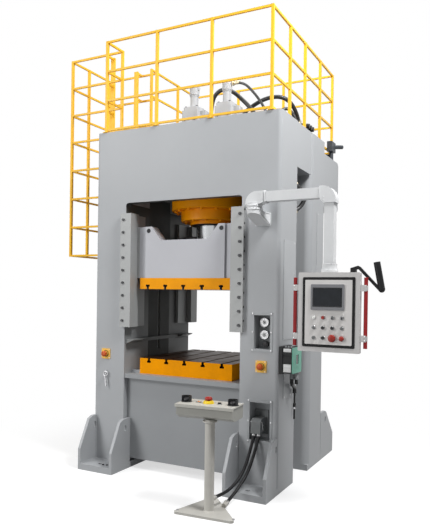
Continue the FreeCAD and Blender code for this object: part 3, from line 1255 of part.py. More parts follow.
def panel_seal():
    """Rubber frame seal round the door."""
    inset = SEAL_INSET
    outer = rounded_box(PANEL_X - PANEL_W / 2 + inset, PANEL_X + PANEL_W / 2 - inset, PANEL_FRONT_Y - SEAL_T,
                        PANEL_FRONT_Y, PANEL_BOTTOM_Z + inset, PANEL_TOP_Z - inset, 10, "y")
    inner = inset + SEAL_W
    hole = rounded_box(PANEL_X - PANEL_W / 2 + inner, PANEL_X + PANEL_W / 2 - inner,
                       PANEL_FRONT_Y - SEAL_T - 1, PANEL_FRONT_Y + 1,
                       PANEL_BOTTOM_Z + inner, PANEL_TOP_Z - inner, 6, "y")
    return outer.cut(hole)


def panel_screen():
    """Touch screen module on the door: bezel with a sunk glass."""
    x = PANEL_X + SCREEN_DX
    z = PANEL_TOP_Z - SCREEN_DROP
    bezel = rounded_box(x - SCREEN_W / 2, x + SCREEN_W / 2, DOOR_FRONT_Y - SCREEN_T, DOOR_FRONT_Y,
                        z - SCREEN_H / 2, z + SCREEN_H / 2, 8, "y")
    glass = centred(x, DOOR_FRONT_Y - SCREEN_T, z, GLASS_W, 2 * GLASS_RECESS, GLASS_H)
    return bezel.cut(glass)


def button_place(column, row):
    return V(PANEL_X + BUTTON_FIRST_X + column * BUTTON_PITCH_X, DOOR_FRONT_Y,
             PANEL_TOP_Z - BUTTON_FIRST_DROP - row * BUTTON_PITCH_Z)


def panel_lamps():
    """Bezels of every control, and the lenses of the four lamps, fixed to the door."""
    pieces = []
    for column in range(4):
        for row in range(3):
            at = button_place(column, row)
            ring = round_bar(BEZEL_R, at, V(0, -1, 0), BEZEL_H)
            if (column, row) in LAMPS:
                lens = round_bar(BUTTON_R, at + V(0, -BEZEL_H, 0), V(0, -1, 0), BUTTON_H * 0.5)
                plug = round_bar(BUTTON_STEM_R, at + V(0, DOOR_T - 1, 0), V(0, -1, 0), DOOR_T - 1)
                pieces.append(fuse(ring, lens, plug))
            else:
                room = round_bar(BUTTON_STEM_R + SLIP, at + V(0, 1, 0), V(0, -1, 0), BEZEL_H + 2)
                pieces.append(ring.cut(room))
    return Part.makeCompound(pieces)


def panel_button(column, row):
    """Flat push button whose cap stands clear of its bezel by its travel."""
    at = button_place(column, row) + V(0, DOOR_T - 2 - BUTTON_TRAVEL, 0)
    stem_l = DOOR_T - 2 + BEZEL_H + PRESS_GAP
    stem = round_bar(BUTTON_STEM_R, at, V(0, -1, 0), stem_l)
    cap = round_bar(BUTTON_R, at + V(0, -stem_l, 0), V(0, -1, 0), BUTTON_H * 0.55)
    return fuse(stem, cap)


def panel_mushroom(column, row, radius):
    at = button_place(column, row) + V(0, DOOR_T - 2 - BUTTON_TRAVEL, 0)
    return mushroom(at, V(0, -1, 0), BUTTON_STEM_R, DOOR_T - 2 + BEZEL_H + PRESS_GAP, radius, 20)


def selector(column, row):
    """Rotary switch: round boss with a raised bar handle."""
    at = button_place(column, row)
    stem = round_bar(BUTTON_STEM_R, at + V(0, DOOR_T - 2, 0), V(0, -1, 0), DOOR_T - 2 + BEZEL_H + 1)
    boss = round_bar(BUTTON_R, at + V(0, -BEZEL_H - 1, 0), V(0, -1, 0), 6)
    bar = centred(at.x, at.y - BEZEL_H - 13, at.z, 8, 12, 2 * BUTTON_R - 2)
    return fuse(stem, boss, bar)


def panel_handles():
    """Upright grab bars on both sides of the panel, in the housing's four brackets."""
    bars = []
    for hand in (1, -1):
        x = PANEL_X + hand * (PANEL_W / 2 + HANDLE_GAP + HANDLE_W / 2)
        bar = rounded_box(x - HANDLE_W / 2, x + HANDLE_W / 2, PANEL_FRONT_Y + 6 + HANDLE_BRACKET_T,
                          PANEL_FRONT_Y + 6 + HANDLE_BRACKET_T + HANDLE_D, PANEL_Z - HANDLE_L / 2,
                          PANEL_Z + HANDLE_L / 2, 8)
        bars.append(bar)
    return Part.makeCompound(bars)


def swing_handle():
    """Bent strap on the panel's top with a round grip for swinging it."""
    y0 = ARM_Y - STRAP_D / 2
    start = V(PANEL_X + PANEL_W / 2 - 95, y0, PANEL_TOP_Z - 2)
    rise = start + V(0, 0, 34)
    knee = rise + V(60, 0, 10)
    low = knee + V(165, 0, -176)
    side = V(STRAP_W, 0, 0)
    up = V(0, 0, STRAP_W * 1.2)
    outline = [start, start + V(46, 0, 0), rise + V(46, 0, -8), knee + V(4, 0, -16), low + V(0, 0, -10),
               low + side + up * 0.2, knee + side + up * 0.2, knee + V(0, 0, 12), rise + V(0, 0, 4)]
    strap = Part.Face(Part.makePolygon(outline + [outline[0]])).extrude(V(0, STRAP_D, 0))
    base = low + V(18, STRAP_D / 2, 4)
    lean = V(-0.19, 0, 1).normalize()
    grip = round_bar(GRIP_R, base, lean, GRIP_L)
    foot_ball = Part.makeSphere(GRIP_R, base)
    return fuse(strap, grip, foot_ball)


# ---------------------------------------------------------------- two-hand stand
def to_stand(shape):
    """Place a shape made about the post's axis."""
    shape.rotate(V(0, 0, 0), V(0, 0, 1), STAND_TURN)
    shape.translate(V(STAND_X, STAND_Y, 0))
    return shape


def stand_base():
    """Triangular foot plate with rounded tips, the round post and the two cable entries."""
    points = [V(x, y, 0) for x, y in STAND_TOE]
    plate = rounded_polygon(points, [STAND_BASE_R] * 3).extrude(V(0, 0, STAND_BASE_T))
    post_l = STAND_BOX_Z - STAND_BOX_H - STAND_BASE_T
    post = round_bar(STAND_POST_R, V(0, 0, STAND_BASE_T), V(0, 0, 1), post_l)
    body = to_stand(fuse(plate, post))
    nuts = []
    for course in (lead_front_route(), lead_rear_route()):
        into = (course[-1] - course[-2]).normalize()
        nuts.append(round_bar(GLAND_NUT_R, course[-1], into, GLAND_NUT_H * 1.5))
    return fuse(body, *nuts)


def stand_box():
    """Sheet housing with a chamfered lower front, closed at the ends."""
    sx, sy = STAND_BOX_SHIFT
    x0 = sx - STAND_W / 2 + STAND_LID_LAP
    y0 = sy - STAND_BOX_D / 2 + STAND_LID_LAP
    y1 = sy + STAND_BOX_D / 2
    z1 = STAND_BOX_Z
    z0 = z1 - STAND_BOX_H
    outline = [V(x0, y0, z1), V(x0, y0, z0 + STAND_CHAMFER), V(x0, y0 + STAND_CHAMFER * 2, z0),
               V(x0, y1, z0), V(x0, y1, z1)]
    body = Part.Face(Part.makePolygon(outline + [outline[0]])).extrude(V(STAND_W - 2 * STAND_LID_LAP, 0, 0))
    screw = round_bar(9, V(x0 + 60, y0 + 85, z0), V(0, 0, -1), 8)
    return to_stand(fuse(body, screw))


def stand_lid():
    """Folded lid with the button collars, guards and holes."""
    sx, sy = STAND_BOX_SHIFT
    x0 = sx - STAND_W / 2
    y0 = sy - STAND_BOX_D / 2
    y1 = sy + STAND_BOX_D / 2
    lid = block(x0, sx + STAND_W / 2, y0, y1, STAND_BOX_Z, STAND_TOP_Z)
    lip = block(x0, sx + STAND_W / 2, y0, y0 + STAND_LID_LAP - 1, STAND_BOX_Z - 14, STAND_BOX_Z)
    pieces = []
    for hand in (1, -1):
        at = V(sx + hand * PALM_X, sy, STAND_TOP_Z)
        ring = round_bar(PALM_GUARD_R, at, V(0, 0, 1), PALM_GUARD_H)
        ring = ring.cut(round_bar(PALM_GUARD_R - 5, at, V(0, 0, 1), PALM_GUARD_H))
        ring = ring.cut(centred(at.x, at.y - 30, at.z + PALM_GUARD_H / 2 + 8, 60, 60, PALM_GUARD_H))
        pieces.append(ring)
    pieces.append(round_bar(9, V(sx - 95, sy, STAND_TOP_Z), V(0, 0, 1), 6))
    pieces.append(centred(sx - 95, sy, STAND_TOP_Z + 2, 46, 30, 4))
    stop_at = V(sx + STAND_STOP_X, sy, STAND_TOP_Z)
    pieces.append(Part.makeCone(STAND_COLLAR_R, STAND_COLLAR_R - 10, STAND_COLLAR_H, stop_at, V(0, 0, 1)))
    body = fuse(lid, lip, *pieces)
    hole_h = STAND_LID_T + STAND_COLLAR_H + 1
    for x in (PALM_X, -PALM_X, STAND_STOP_X):
        body = body.cut(round_bar(STOP_STEM_R + SLIP, V(sx + x, sy, STAND_BOX_Z), V(0, 0, 1), hole_h))
    button_at = V(sx + STAND_BUTTON_X, sy, STAND_BOX_Z)
    body = body.cut(round_bar(BUTTON_STEM_R + SLIP, button_at, V(0, 0, 1), hole_h))
    return to_stand(body)


def palm_button(hand):
    sx, sy = STAND_BOX_SHIFT
    at = V(sx + hand * PALM_X, sy, STAND_BOX_Z + STOP_TRAVEL + PRESS_GAP)
    return to_stand(mushroom(at, V(0, 0, 1), STOP_STEM_R, STAND_LID_T, PALM_R, PALM_H))


def stand_stop():
    sx, sy = STAND_BOX_SHIFT
    at = V(sx + STAND_STOP_X, sy, STAND_BOX_Z + STOP_TRAVEL + PRESS_GAP)
    stem_l = STAND_LID_T + STAND_COLLAR_H
    return to_stand(mushroom(at, V(0, 0, 1), STOP_STEM_R, stem_l, STAND_STOP_R, STOP_HEAD_H))


def stand_button():
    sx, sy = STAND_BOX_SHIFT
    at = V(sx + STAND_BUTTON_X, sy, STAND_BOX_Z + BUTTON_TRAVEL + PRESS_GAP)
    return to_stand(mushroom(at, V(0, 0, 1), BUTTON_STEM_R, STAND_LID_T, STAND_BUTTON_R, STAND_BUTTON_H))


# ---------------------------------------------------------------- leads
def lead_front_route():
    """From the right gland down over the foot plate to the edge of the stand's foot."""
    points = [gland_mouth(GLAND_X[0])] + [V(*place) for place in LEAD_FRONT_COURSE]
    return route(points, gland_direction(), V(-0.08, -0.95, -0.28), LEAD_RUN)


def lead_rear_route():
    """From the left gland, beside the first lead, to the side of the stand's post."""
    points = [gland_mouth(GLAND_X[1])] + [V(*place) for place in LEAD_REAR_COURSE]
    return route(points, gland_direction(), V(-0.2, -0.98, 0.02), LEAD_RUN)


def lead_front():
    return hose("lead to the stand's foot", lead_front_route(), LEAD_R)


def lead_rear():
    return hose("lead to the stand's post", lead_rear_route(), LEAD_R)


# ---------------------------------------------------------------- output
NODES = {
    "front_portal": front_portal,
    "rear_portal": rear_portal,
    "crown_box": crown_box,
    "side_webs": side_webs,
    "side_covers": side_covers,
    "bed_box": bed_box,
    "bolster": bolster,
    "gibs_front": lambda: gib_pair(1),
    "gibs_rear": lambda: gib_pair(-1),
    "gib_bolts": gib_bolts,
    "shelf_bracket": shelf_bracket,
    "slide_body": slide_body,
    "slide_plate": slide_plate,
    "ram": ram,
    "cylinder_barrel": cylinder_barrel,
    "cylinder_flange": cylinder_flange,
    "gland_ring": gland_ring,
    "top_railing": top_railing,
    "access_ladder": access_ladder,
    "oil_tank": oil_tank,
    "prefill_valves": prefill_valves,
    "pump_unit": pump_unit,
    "valve_manifold": valve_manifold,
    "crown_hoses": crown_hoses,
    "gap_hose": gap_hose,
    "gauge_panel": gauge_panel,
    "pressure_gauges": pressure_gauges,
    "regulator_knob": regulator_knob,
    "socket_panel": socket_panel,
    "connector_hood": connector_hood,
    "estop_plates": estop_plates,
    "column_stop_left": lambda: column_stop("left"),
    "column_stop_right": lambda: column_stop("right"),
    "relay_unit": relay_unit,
    "wall_bracket": wall_bracket,
    "pendant_arm": pendant_arm,
    "panel_case": panel_case,
    "panel_door": panel_door,
    "panel_seal": panel_seal,
    "panel_screen": panel_screen,
    "panel_lamps": panel_lamps,
    "panel_red_button": lambda: panel_button(1, 0),
    "panel_black_button_left": lambda: panel_button(1, 1),
    "panel_black_button_right": lambda: panel_button(2, 1),
    "panel_black_button_low": lambda: panel_button(1, 2),
    "panel_selector_left": lambda: selector(2, 0),
    "panel_selector_right": lambda: selector(3, 0),
    "panel_stop": lambda: panel_mushroom(2, 2, STOP_HEAD_R),
    "panel_mushroom": lambda: panel_mushroom(3, 2, MUSHROOM_R),
    "panel_handles": panel_handles,
    "swing_handle": swing_handle,
    "stand_base": stand_base,
    "stand_box": stand_box,
    "stand_lid": stand_lid,
    "palm_button_left": lambda: palm_button(-1),
    "palm_button_right": lambda: palm_button(1),
    "stand_stop": stand_stop,
    "stand_button": stand_button,
    "lead_front": lead_front,
    "lead_rear": lead_rear,
}

os.makedirs("parts", exist_ok=True)
for name, make in NODES.items():
    make().exportStep(f"parts/{name}.step")
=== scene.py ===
"""Hydraulic press with railed crown, caged ladder, swinging operator panel and two-hand stand.

Metres, in the frame of the CAD model: +X to the operator's right, +Y to the rear, +Z up.
"""
import math
import bpy
import numpy as np
from mathutils import Matrix, Vector


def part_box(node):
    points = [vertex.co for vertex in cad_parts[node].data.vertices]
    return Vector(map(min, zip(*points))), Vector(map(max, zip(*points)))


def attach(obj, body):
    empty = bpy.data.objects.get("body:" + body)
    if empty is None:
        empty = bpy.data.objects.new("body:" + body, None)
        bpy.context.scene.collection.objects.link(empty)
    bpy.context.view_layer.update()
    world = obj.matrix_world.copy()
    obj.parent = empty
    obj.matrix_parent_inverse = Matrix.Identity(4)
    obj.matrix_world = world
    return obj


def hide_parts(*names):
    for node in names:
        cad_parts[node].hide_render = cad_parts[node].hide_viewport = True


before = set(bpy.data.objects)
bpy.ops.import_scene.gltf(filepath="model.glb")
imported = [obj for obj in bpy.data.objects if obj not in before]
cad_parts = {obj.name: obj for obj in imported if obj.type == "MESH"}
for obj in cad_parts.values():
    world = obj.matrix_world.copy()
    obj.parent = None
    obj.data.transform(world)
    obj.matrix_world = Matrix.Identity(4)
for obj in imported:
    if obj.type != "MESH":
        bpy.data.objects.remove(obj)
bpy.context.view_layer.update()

scene = bpy.context.scene
scene.view_settings.view_transform = "Standard"

# -------- camera
# The viewpoint of the photograph: at head height in front of the press and to its right,
# level and nearly straight, with a normal lens.
camera_place = Vector((2.861, -5.464, 1.772))
azimuth, pitch, roll = (math.radians(a) for a in (27.261, -0.209, 0.811))
look = Vector((-math.sin(azimuth) * math.cos(pitch), math.cos(azimuth) * math.cos(pitch), math.sin(pitch)))
level = Vector((math.cos(azimuth), math.sin(azimuth), 0))
upright = level.cross(look)
across = level * math.cos(roll) + upright * math.sin(roll)
upward = upright * math.cos(roll) - level * math.sin(roll)
photo_height, focal_length, optical_row = 532, 586.13, 295.4
camera_data = bpy.data.cameras.new("camera")
camera_data.sensor_fit = "VERTICAL"
camera_data.sensor_height = 36
camera_data.lens = focal_length / photo_height * camera_data.sensor_height
camera_data.shift_y = (optical_row - photo_height / 2) / photo_height
camera_data.clip_end = 200
camera = bpy.data.objects.new("camera", camera_data)
scene.collection.objects.link(camera)
camera.matrix_world = Matrix([(across[i], upward[i], -look[i], camera_place[i]) for i in range(3)]
    + [(0, 0, 0, 1)])
scene.camera = camera


# -------- leads to the two-hand stand
# Two rubber-sheathed control cables. Each is screwed into a gland under the connector hood,
# hangs over the foot plate and enters the stand: one at its foot plate, one at its post.
def fill(node, *inputs, **values):
    """Fills a shader node and returns its first output.

    Positional values go to the inputs in their order, named ones to the input or the property of
    that name. An output socket is linked, and None leaves an input as it is.
    """
    for key, value in [*values.items(), *enumerate(inputs)]:
        label = key.replace("_", " ") if isinstance(key, str) else key
        if isinstance(key, str) and label not in node.inputs:
            setattr(node, key, value)
        elif isinstance(value, bpy.types.NodeSocket):
            node.id_data.links.new(value, node.inputs[label])
        elif value is not None:
            node.inputs[label].default_value = value
    return node.outputs[0] if node.outputs else None


def add_node(tree, kind, *inputs, **values):
    """A new shader node of a kind, filled; returns its first output."""
    return fill(tree.nodes.new("ShaderNode" + kind), *inputs, **values)


def parts_of(material):
    """A finish's shader and its object coordinates."""
    nodes = material.node_tree.nodes
    return nodes["Principled BSDF"], nodes["Texture Coordinate"].outputs["Object"]


def new_finish(name):
    """A material with its shader, and the object coordinates that its patterns read."""
    material = bpy.data.materials.new(name)
    material.use_nodes = True
    add_node(material.node_tree, "TexCoord")
    return material, *parts_of(material)


def noise(place, scale, detail=2, roughness=0.5, squash=None):
    """A noise with patches about 1/scale metres wide, squashed by a factor along each axis."""
    if squash:
        place = add_node(place.id_data, "Mapping", Vector=place, Scale=squash)
    return add_node(place.id_data, "TexNoise", Vector=place, Scale=scale, Detail=detail,
        Roughness=roughness)


def tones(value, colour, darker, lighter, end=0.7):
    """A noise's value as a colour, from colour * darker to colour * lighter."""
    ramp = add_node(value.id_data, "ValToRGB", value)
    for stop, position, share in zip(ramp.node.color_ramp.elements, (0.3, end), (darker, lighter)):
        stop.position = position
        stop.color = (*(min(c * share, 1) for c in colour), 1)
    return ramp


def span(value, low, high):
    """A noise's value as a number between two others."""
    return add_node(value.id_data, "MapRange", value, 0.3, 0.7, low, high)


def relief(place, scale, height, strength=1, squash=None):
    """Fine relief of a given height in metres from a noise."""
    grain = noise(place, scale, squash=squash)
    return add_node(place.id_data, "Bump", Distance=height, Strength=strength, Height=grain)


def surface(name, colour, roughness, amount, scale, spread, bumps=None, specular=0.5, metallic=0, detail=4,
        squash=None):
    """A finish whose colour drifts by +-amount over patches about 1/scale metres wide.

    The roughness drifts with it, from roughness + spread[0] to roughness + spread[1], and bumps
    are the scale, height and strength of a relief.
    """
    material, shader, place = new_finish(name)
    cloud = noise(place, scale, detail, 0.6, squash)
    fill(shader, Base_Color=tones(cloud, colour, 1 - amount, 1 + amount), Metallic=metallic,
        Roughness=span(cloud, roughness + spread[0], roughness + spread[1]), Specular_IOR_Level=specular)
    if bumps:
        fill(shader, Normal=relief(place, *bumps, squash=squash))
    return material


def rubber(name, colour=(0.018, 0.018, 0.019), roughness=0.42):
    """Extruded or moulded rubber: nearly black, softly glossy, faintly dusty."""
    return surface(name, colour, roughness, 0.35, 9, (-0.08, 0.14), (900, 0.00025), 0.18)


cable_rubber = rubber("cable rubber")


def free_lead(name, node, points):
    """A round cable on one smooth spline whose control points are the lead's route."""
    curve = bpy.data.curves.new(name, "CURVE")
    curve.dimensions = "3D"
    curve.bevel_depth = 0.014
    curve.bevel_resolution = 6
    curve.resolution_u = 8
    spline = curve.splines.new("NURBS")
    spline.points.add(len(points) - 1)
    spline.points.foreach_set("co", np.c_[points, np.ones(len(points))].ravel())
    spline.order_u = 3
    spline.use_endpoint_u = True
    lead = bpy.data.objects.new(name, curve)
    scene.collection.objects.link(lead)
    curve.materials.append(cable_rubber)
    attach(lead, "frame")
    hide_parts(node)


front_points = [(0.835, -0.651, 0.5006), (0.835, -0.6832, 0.4448), (0.8212, -0.7147, 0.3587),
    (0.8096, -0.7557, 0.2762), (0.7994, -0.8143, 0.2051), (0.7851, -0.8863, 0.1481),
    (0.7715, -0.9657, 0.1017), (0.7612, -1.0504, 0.0651), (0.756, -1.112, 0.047)]
rear_points = [(0.788, -0.651, 0.5006), (0.788, -0.6832, 0.4448), (0.7769, -0.714, 0.3601),
    (0.767, -0.7551, 0.2798), (0.7575, -0.814, 0.2114), (0.7433, -0.8864, 0.1585),
    (0.7298, -0.9697, 0.1249), (0.7193, -1.0588, 0.1109), (0.7069, -1.1489, 0.1087), (0.694, -1.212, 0.11)]
free_lead("stand_lead_front", "lead_front", front_points)
free_lead("stand_lead_rear", "lead_rear", rear_points)


# -------- welded frame
# Two box-section portals joined by the crown, the bed and side plates: flame-cut steel plate,
# welded and sprayed with grey two-pack enamel. The bed's grey is darkened as painted shade, and
# the faces round the window, more so higher up, and the side webs are near black: painted shade.
def dress(finish, *nodes):
    """The CAD nodes take this finish."""
    for name in nodes:
        for place_on_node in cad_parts[name].material_slots:
            place_on_node.material = finish


def enamel(name, colour, roughness=0.36, amount=0.035, scale=1.6, peel=0.0005, peel_scale=260):
    """Sprayed enamel: colour and gloss drift over large plates, over fine orange peel."""
    return surface(name, colour, roughness, amount, scale, (-0.05, 0.08), (peel_scale, peel, 0.35), 0.2)


def mixed(share, first, second):
    """Two colours mixed, the second by its share of 0 to 1."""
    blend = add_node(share.id_data, "Mix", share, *[None] * 5, first, second, data_type="RGBA")
    return blend.node.outputs[2]


def lay_over(material, share, colour, amount, scale):
    """A second drifting colour over a finish's own, by its share of 0 to 1."""
    shader, place = parts_of(material)
    own = shader.inputs["Base Color"].links[0].from_socket
    other = tones(noise(place, scale, 4, 0.6), colour, 1 - amount, 1 + amount)
    fill(shader, Base_Color=mixed(share, own, other))


def enamel_with_painted_shade(name, paint, painted_shade, reach, low, high):
    """Frame enamel that turns into near-black painted shade on the faces round the window, more so higher up.

    A face counts as inside where |x|, |y| and z are all less than the three lengths in reach.
    """
    material = enamel(name, paint)
    tree = material.node_tree
    size = add_node(tree, "VectorMath", parts_of(material)[1], operation="ABSOLUTE")
    parts = add_node(tree, "SeparateXYZ", size).node.outputs
    share = add_node(tree, "MapRange", parts["Z"], low, high, interpolation_type="SMOOTHSTEP")
    for axis, limit in zip("XYZ", reach):
        within = add_node(tree, "Math", parts[axis], limit, operation="LESS_THAN")
        share = add_node(tree, "Math", share, within, operation="MULTIPLY")
    lay_over(material, share, painted_shade, 0.1, 5)
    return material


frame_grey = (0.405, 0.417, 0.43)
frame_enamel = enamel("frame enamel", frame_grey)
# Near-black grey for the side webs and the cylinder barrel: painted shade inside the frame.
dark_painted_shade = enamel("primer inside the frame", (0.075, 0.078, 0.075), 0.6, 0.14, 5)
dress(frame_enamel, "crown_box")
# The bed's grey is the frame's darkened to about three quarters: painted shade on the bed.
dress(enamel("bed enamel darkened as painted shade", (0.308, 0.319, 0.33)), "bed_box")
dress(dark_painted_shade, "side_webs")
# The portals' faces round the window darken between z = 0.6 m and 1.9 m into near-black painted shade.
window_reach = (0.6405, 0.6435, 2.6665)
dress(enamel_with_painted_shade("portal enamel and primer", frame_grey, (0.085, 0.088, 0.083), window_reach, 0.6, 1.9),
    "front_portal", "rear_portal")


# -------- weld beads of the feet
# Fillet welds where gussets, foot plates and columns meet, with the ripples that the welder's
# hand leaves, under the frame's enamel.
def faces_between(rows, columns, wrap_rows, wrap_columns):
    """Quads between neighbouring points of a grid, as an array of point numbers."""
    r, c = np.mgrid[:rows - (not wrap_rows), :columns - (not wrap_columns)]
    r1, c1 = (r + 1) % rows, (c + 1) % columns
    corners_of = [r * columns + c, r * columns + c1, r1 * columns + c1, r1 * columns + c]
    return np.stack(corners_of, -1).reshape(-1, 4)


def volume_in(points, faces):
    """Signed volume in quads abcd, times six: the sum of a . (b x c) + a . (c x d) from their middle.

    It is negative where the quads face inwards.
    """
    a, b, c, d = (points[faces[:, i]] - points.mean(0) for i in range(4))
    return np.einsum("ij,ij->i", a, np.cross(b, c) + np.cross(c, d)).sum()


def closed_rings(rings):
    """A body made of rings, an array (rings, points, 3): walls between rings and a cap on each end."""
    rings = np.asarray(rings, float)
    rows, columns, _ = rings.shape
    points = rings.reshape(-1, 3)
    walls = faces_between(rows, columns, False, True)
    first, last = list(range(columns)), list(range(len(points) - columns, len(points)))
    if volume_in(points, walls) < 0:
        return points, walls[:, ::-1].tolist() + [first, last[::-1]]
    return points, walls.tolist() + [first[::-1], last]


def add_piece(name, solids, finish, body="frame", sharp=38):
    """One object made of several solids, smooth but for edges sharper than an angle."""
    points = []
    faces = []
    start = 0
    for solid_points, solid_faces in solids:
        points.append(solid_points)
        faces += [[i + start for i in face] for face in solid_faces]
        start += len(solid_points)
    mesh = bpy.data.meshes.new(name)
    mesh.from_pydata(np.concatenate(points).tolist(), [], faces)
    mesh.shade_smooth()
    mesh.set_sharp_from_angle(angle=math.radians(sharp))
    mesh.materials.append(finish)
    piece = bpy.data.objects.new(name, mesh)
    scene.collection.objects.link(piece)
    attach(piece, body)
    return piece


def basis(axis):
    """The unit axis, and two unit directions square to it and to each other."""
    axis = np.array(axis, float) / np.linalg.norm(axis)
    helper = np.array((0, 0, 1)) if abs(axis[2]) < 0.9 else np.array((1, 0, 0))
    first = np.cross(helper, axis)
    first /= np.linalg.norm(first)
    return axis, first, np.cross(axis, first)


def carried(path, radius, sides=10, ripple=0, ripple_pitch=0.01):
    """A round section carried along a path: at each point the section stands square to the course,
    on a frame that is turned from the last one by the least angle. Ripple swells it along its length."""
    path = np.asarray(path, float)
    course = np.gradient(path, axis=0)
    course /= np.linalg.norm(course, axis=1)[:, None]
    _, first, _ = basis(course[0])
    firsts = [first]
    for direction in course[1:]:
        first = firsts[-1] - direction * np.dot(firsts[-1], direction)
        firsts.append(first / np.linalg.norm(first))
    firsts = np.array(firsts)
    seconds = np.cross(course, firsts)
    angle = np.linspace(0, 2 * np.pi, sides, endpoint=False)
    length = np.r_[0, np.cumsum(np.linalg.norm(np.diff(path, axis=0), axis=1))]
    swell = np.broadcast_to(radius, len(path)) * (1 + ripple * np.sin(2 * np.pi * length / ripple_pitch))
    ring = np.cos(angle)[None, :, None] * firsts[:, None] + np.sin(angle)[None, :, None] * seconds[:, None]
    return closed_rings(path[:, None] + swell[:, None, None] * ring)


def straight(start, end, step):
    """Equally spaced points from one place to another."""
    start, end = np.array(start, float), np.array(end, float)
    count = max(int(np.linalg.norm(end - start) / step), 2)
    return start + np.linspace(0, 1, count + 1)[:, None] * (end - start)


def foot_bead(start, end):
    """One bead of 7 mm, rippled by the welder's hand."""
    return carried(straight(start, end, 0.0035), 0.007, 8, 0.14, 0.0119)


face_y, plate_z = 0.645, 0.0605
beads = []
for side, toe in ((-1, 0.242), (1, 0.455)):
    seam_y, start_y, end_y = (side * (face_y + d) for d in (0.001, 0.004, toe - 0.004))
    for hand in (1, -1):
        for x in (hand * 0.629, hand * 0.979):
            beads.append(foot_bead((x, start_y, plate_z), (x, end_y, plate_z)))
            beads.append(foot_bead((x, seam_y, 0.066), (x, seam_y, 0.5)))
        beads.append(foot_bead((hand * 0.632, seam_y, plate_z), (hand * 0.976, seam_y, plate_z)))
add_piece("foot_weld_beads", beads, frame_enamel)


# -------- small fittings on the columns
# Two jacking screws in the left front foot plate, and a forged eye with a hanging pin on the
# left column that parks the ram's safety stop.
def turned(base, axis, profile, sides=28):
    """A profile of (radius, height) turned about an axis: point = base + h*axis + r*(cos a, sin a)."""
    axis, first, second = basis(axis)
    radius, height = np.array(profile, float).T
    angle = np.linspace(0, 2 * np.pi, sides, endpoint=False)
    spokes = np.cos(angle)[:, None] * first + np.sin(angle)[:, None] * second
    radius = np.maximum(radius, 1e-5)
    return closed_rings(np.array(base) + height[:, None, None] * axis + radius[:, None, None] * spokes)


def mm(*numbers):
    """A profile from radius, height, radius, height and so on in millimetres."""
    return np.reshape(numbers, (-1, 2)) / 1000


up, forward = (0, 0, 1), (0, -1, 0)


def steel(name, colour, roughness, grain=None, scale=60, amount=0.12, metallic=1):
    """Bare or blackened steel with a grain that is stretched along the way it was worked."""
    return surface(name, colour, roughness, amount, scale, (-0.07, 0.1), (scale * 4, 0.0001, 0.5), 0.5,
        metallic, 3, grain)


bolt_steel = steel("zinc-plated steel", (0.52, 0.52, 0.53), 0.32)
dark_steel = steel("blackened steel", (0.05, 0.05, 0.052), 0.4)


def add_bolts(name, solids, body="frame"):
    """One object of plated bolts, screws or small fittings."""
    add_piece(name, solids, bolt_steel, body)


def socket_screw(at, axis, head_r, head_h):
    """Socket head: turned rim with a chamfer, and a round recess let into its face."""
    profile = np.array(((1, 0), (1, 0.88), (0.9, 1), (0.56, 1), (0.5, 0.5), (0, 0.42)))
    return turned(at, axis, profile * (head_r, head_h), 24)


add_piece("jacking_screws", [socket_screw((x, y, 0.06), up, 0.011, 0.008)
    for x, y in ((-0.752, -0.816), (-0.712, -0.806))], dark_steel)
park = np.array((-0.852, -face_y, 0.938))
angle = np.linspace(0, 2 * np.pi, 41)[:-1]
eye_path = park + np.stack([0.024 * np.cos(angle), np.full(40, -0.022), 0.024 * np.sin(angle)], -1)
pin_path = park + np.linspace((0, -0.03, -0.02), (0.014, -0.03, -0.125), 12)
add_bolts("parking_eye", [turned(park, forward, mm(17, 0, 17, 6, 9, 8, 9, 20, 6, 24), 24),
    carried(eye_path, 0.006, 10), carried(pin_path, 0.0075, 12)])


# -------- bed and bolster
# The bolster is a thick steel plate with T-slots, orange enamel on its four sides and planed,
# oiled steel on top and in the slots; locating keys sit beside it on the bed's ledge plate.
def outside(place, axis, limit):
    """1 where the distance from the middle along an axis is more than the limit, else 0."""
    coordinate = add_node(place.id_data, "SeparateXYZ", place).node.outputs[axis]
    size = add_node(place.id_data, "Math", coordinate, operation="ABSOLUTE")
    return add_node(place.id_data, "Math", size, limit, operation="GREATER_THAN")


def painted_sides(name, paint, steel_colour, half_x, half_y):
    """Enamel on a plate's outer sides, planed steel with fine tool marks on all other faces."""
    material, shader, place = new_finish(name)
    tree = material.node_tree
    wear = noise(place, 7, 6, 0.65)
    marks = noise(place, 1, 3, squash=(240, 3, 3))
    painted = add_node(tree, "Math", outside(place, "X", half_x), outside(place, "Y", half_y),
        operation="MAXIMUM")
    bare = add_node(tree, "Math", 1, painted, operation="SUBTRACT")
    colour = mixed(painted, tones(marks, steel_colour, 0.72, 1.3, 0.75), tones(wear, paint, 0.9, 1.06))
    fill(shader, Base_Color=colour, Metallic=add_node(tree, "Math", bare, 0.3, operation="MULTIPLY"),
        Roughness=span(wear, 0.34, 0.5), Specular_IOR_Level=0.03, Normal=relief(place, 220, 0.0004, 0.35))
    return material


orange = (0.93, 0.34, 0)
dress(painted_sides("bolster enamel and planed steel", orange, (0.052, 0.022, 0.009), 0.5148, 0.5448),
    "bolster")


# -------- gibs and their bolts
# Ground steel guides bolted in rows to both portals with blackened hexagon bolts on washers,
# and adjusting screws along each plate's outer edge.
def corners(across, along):
    """The four places at +-across and +-along."""
    return [(u, v) for u in (-across, across) for v in (-along, along)]


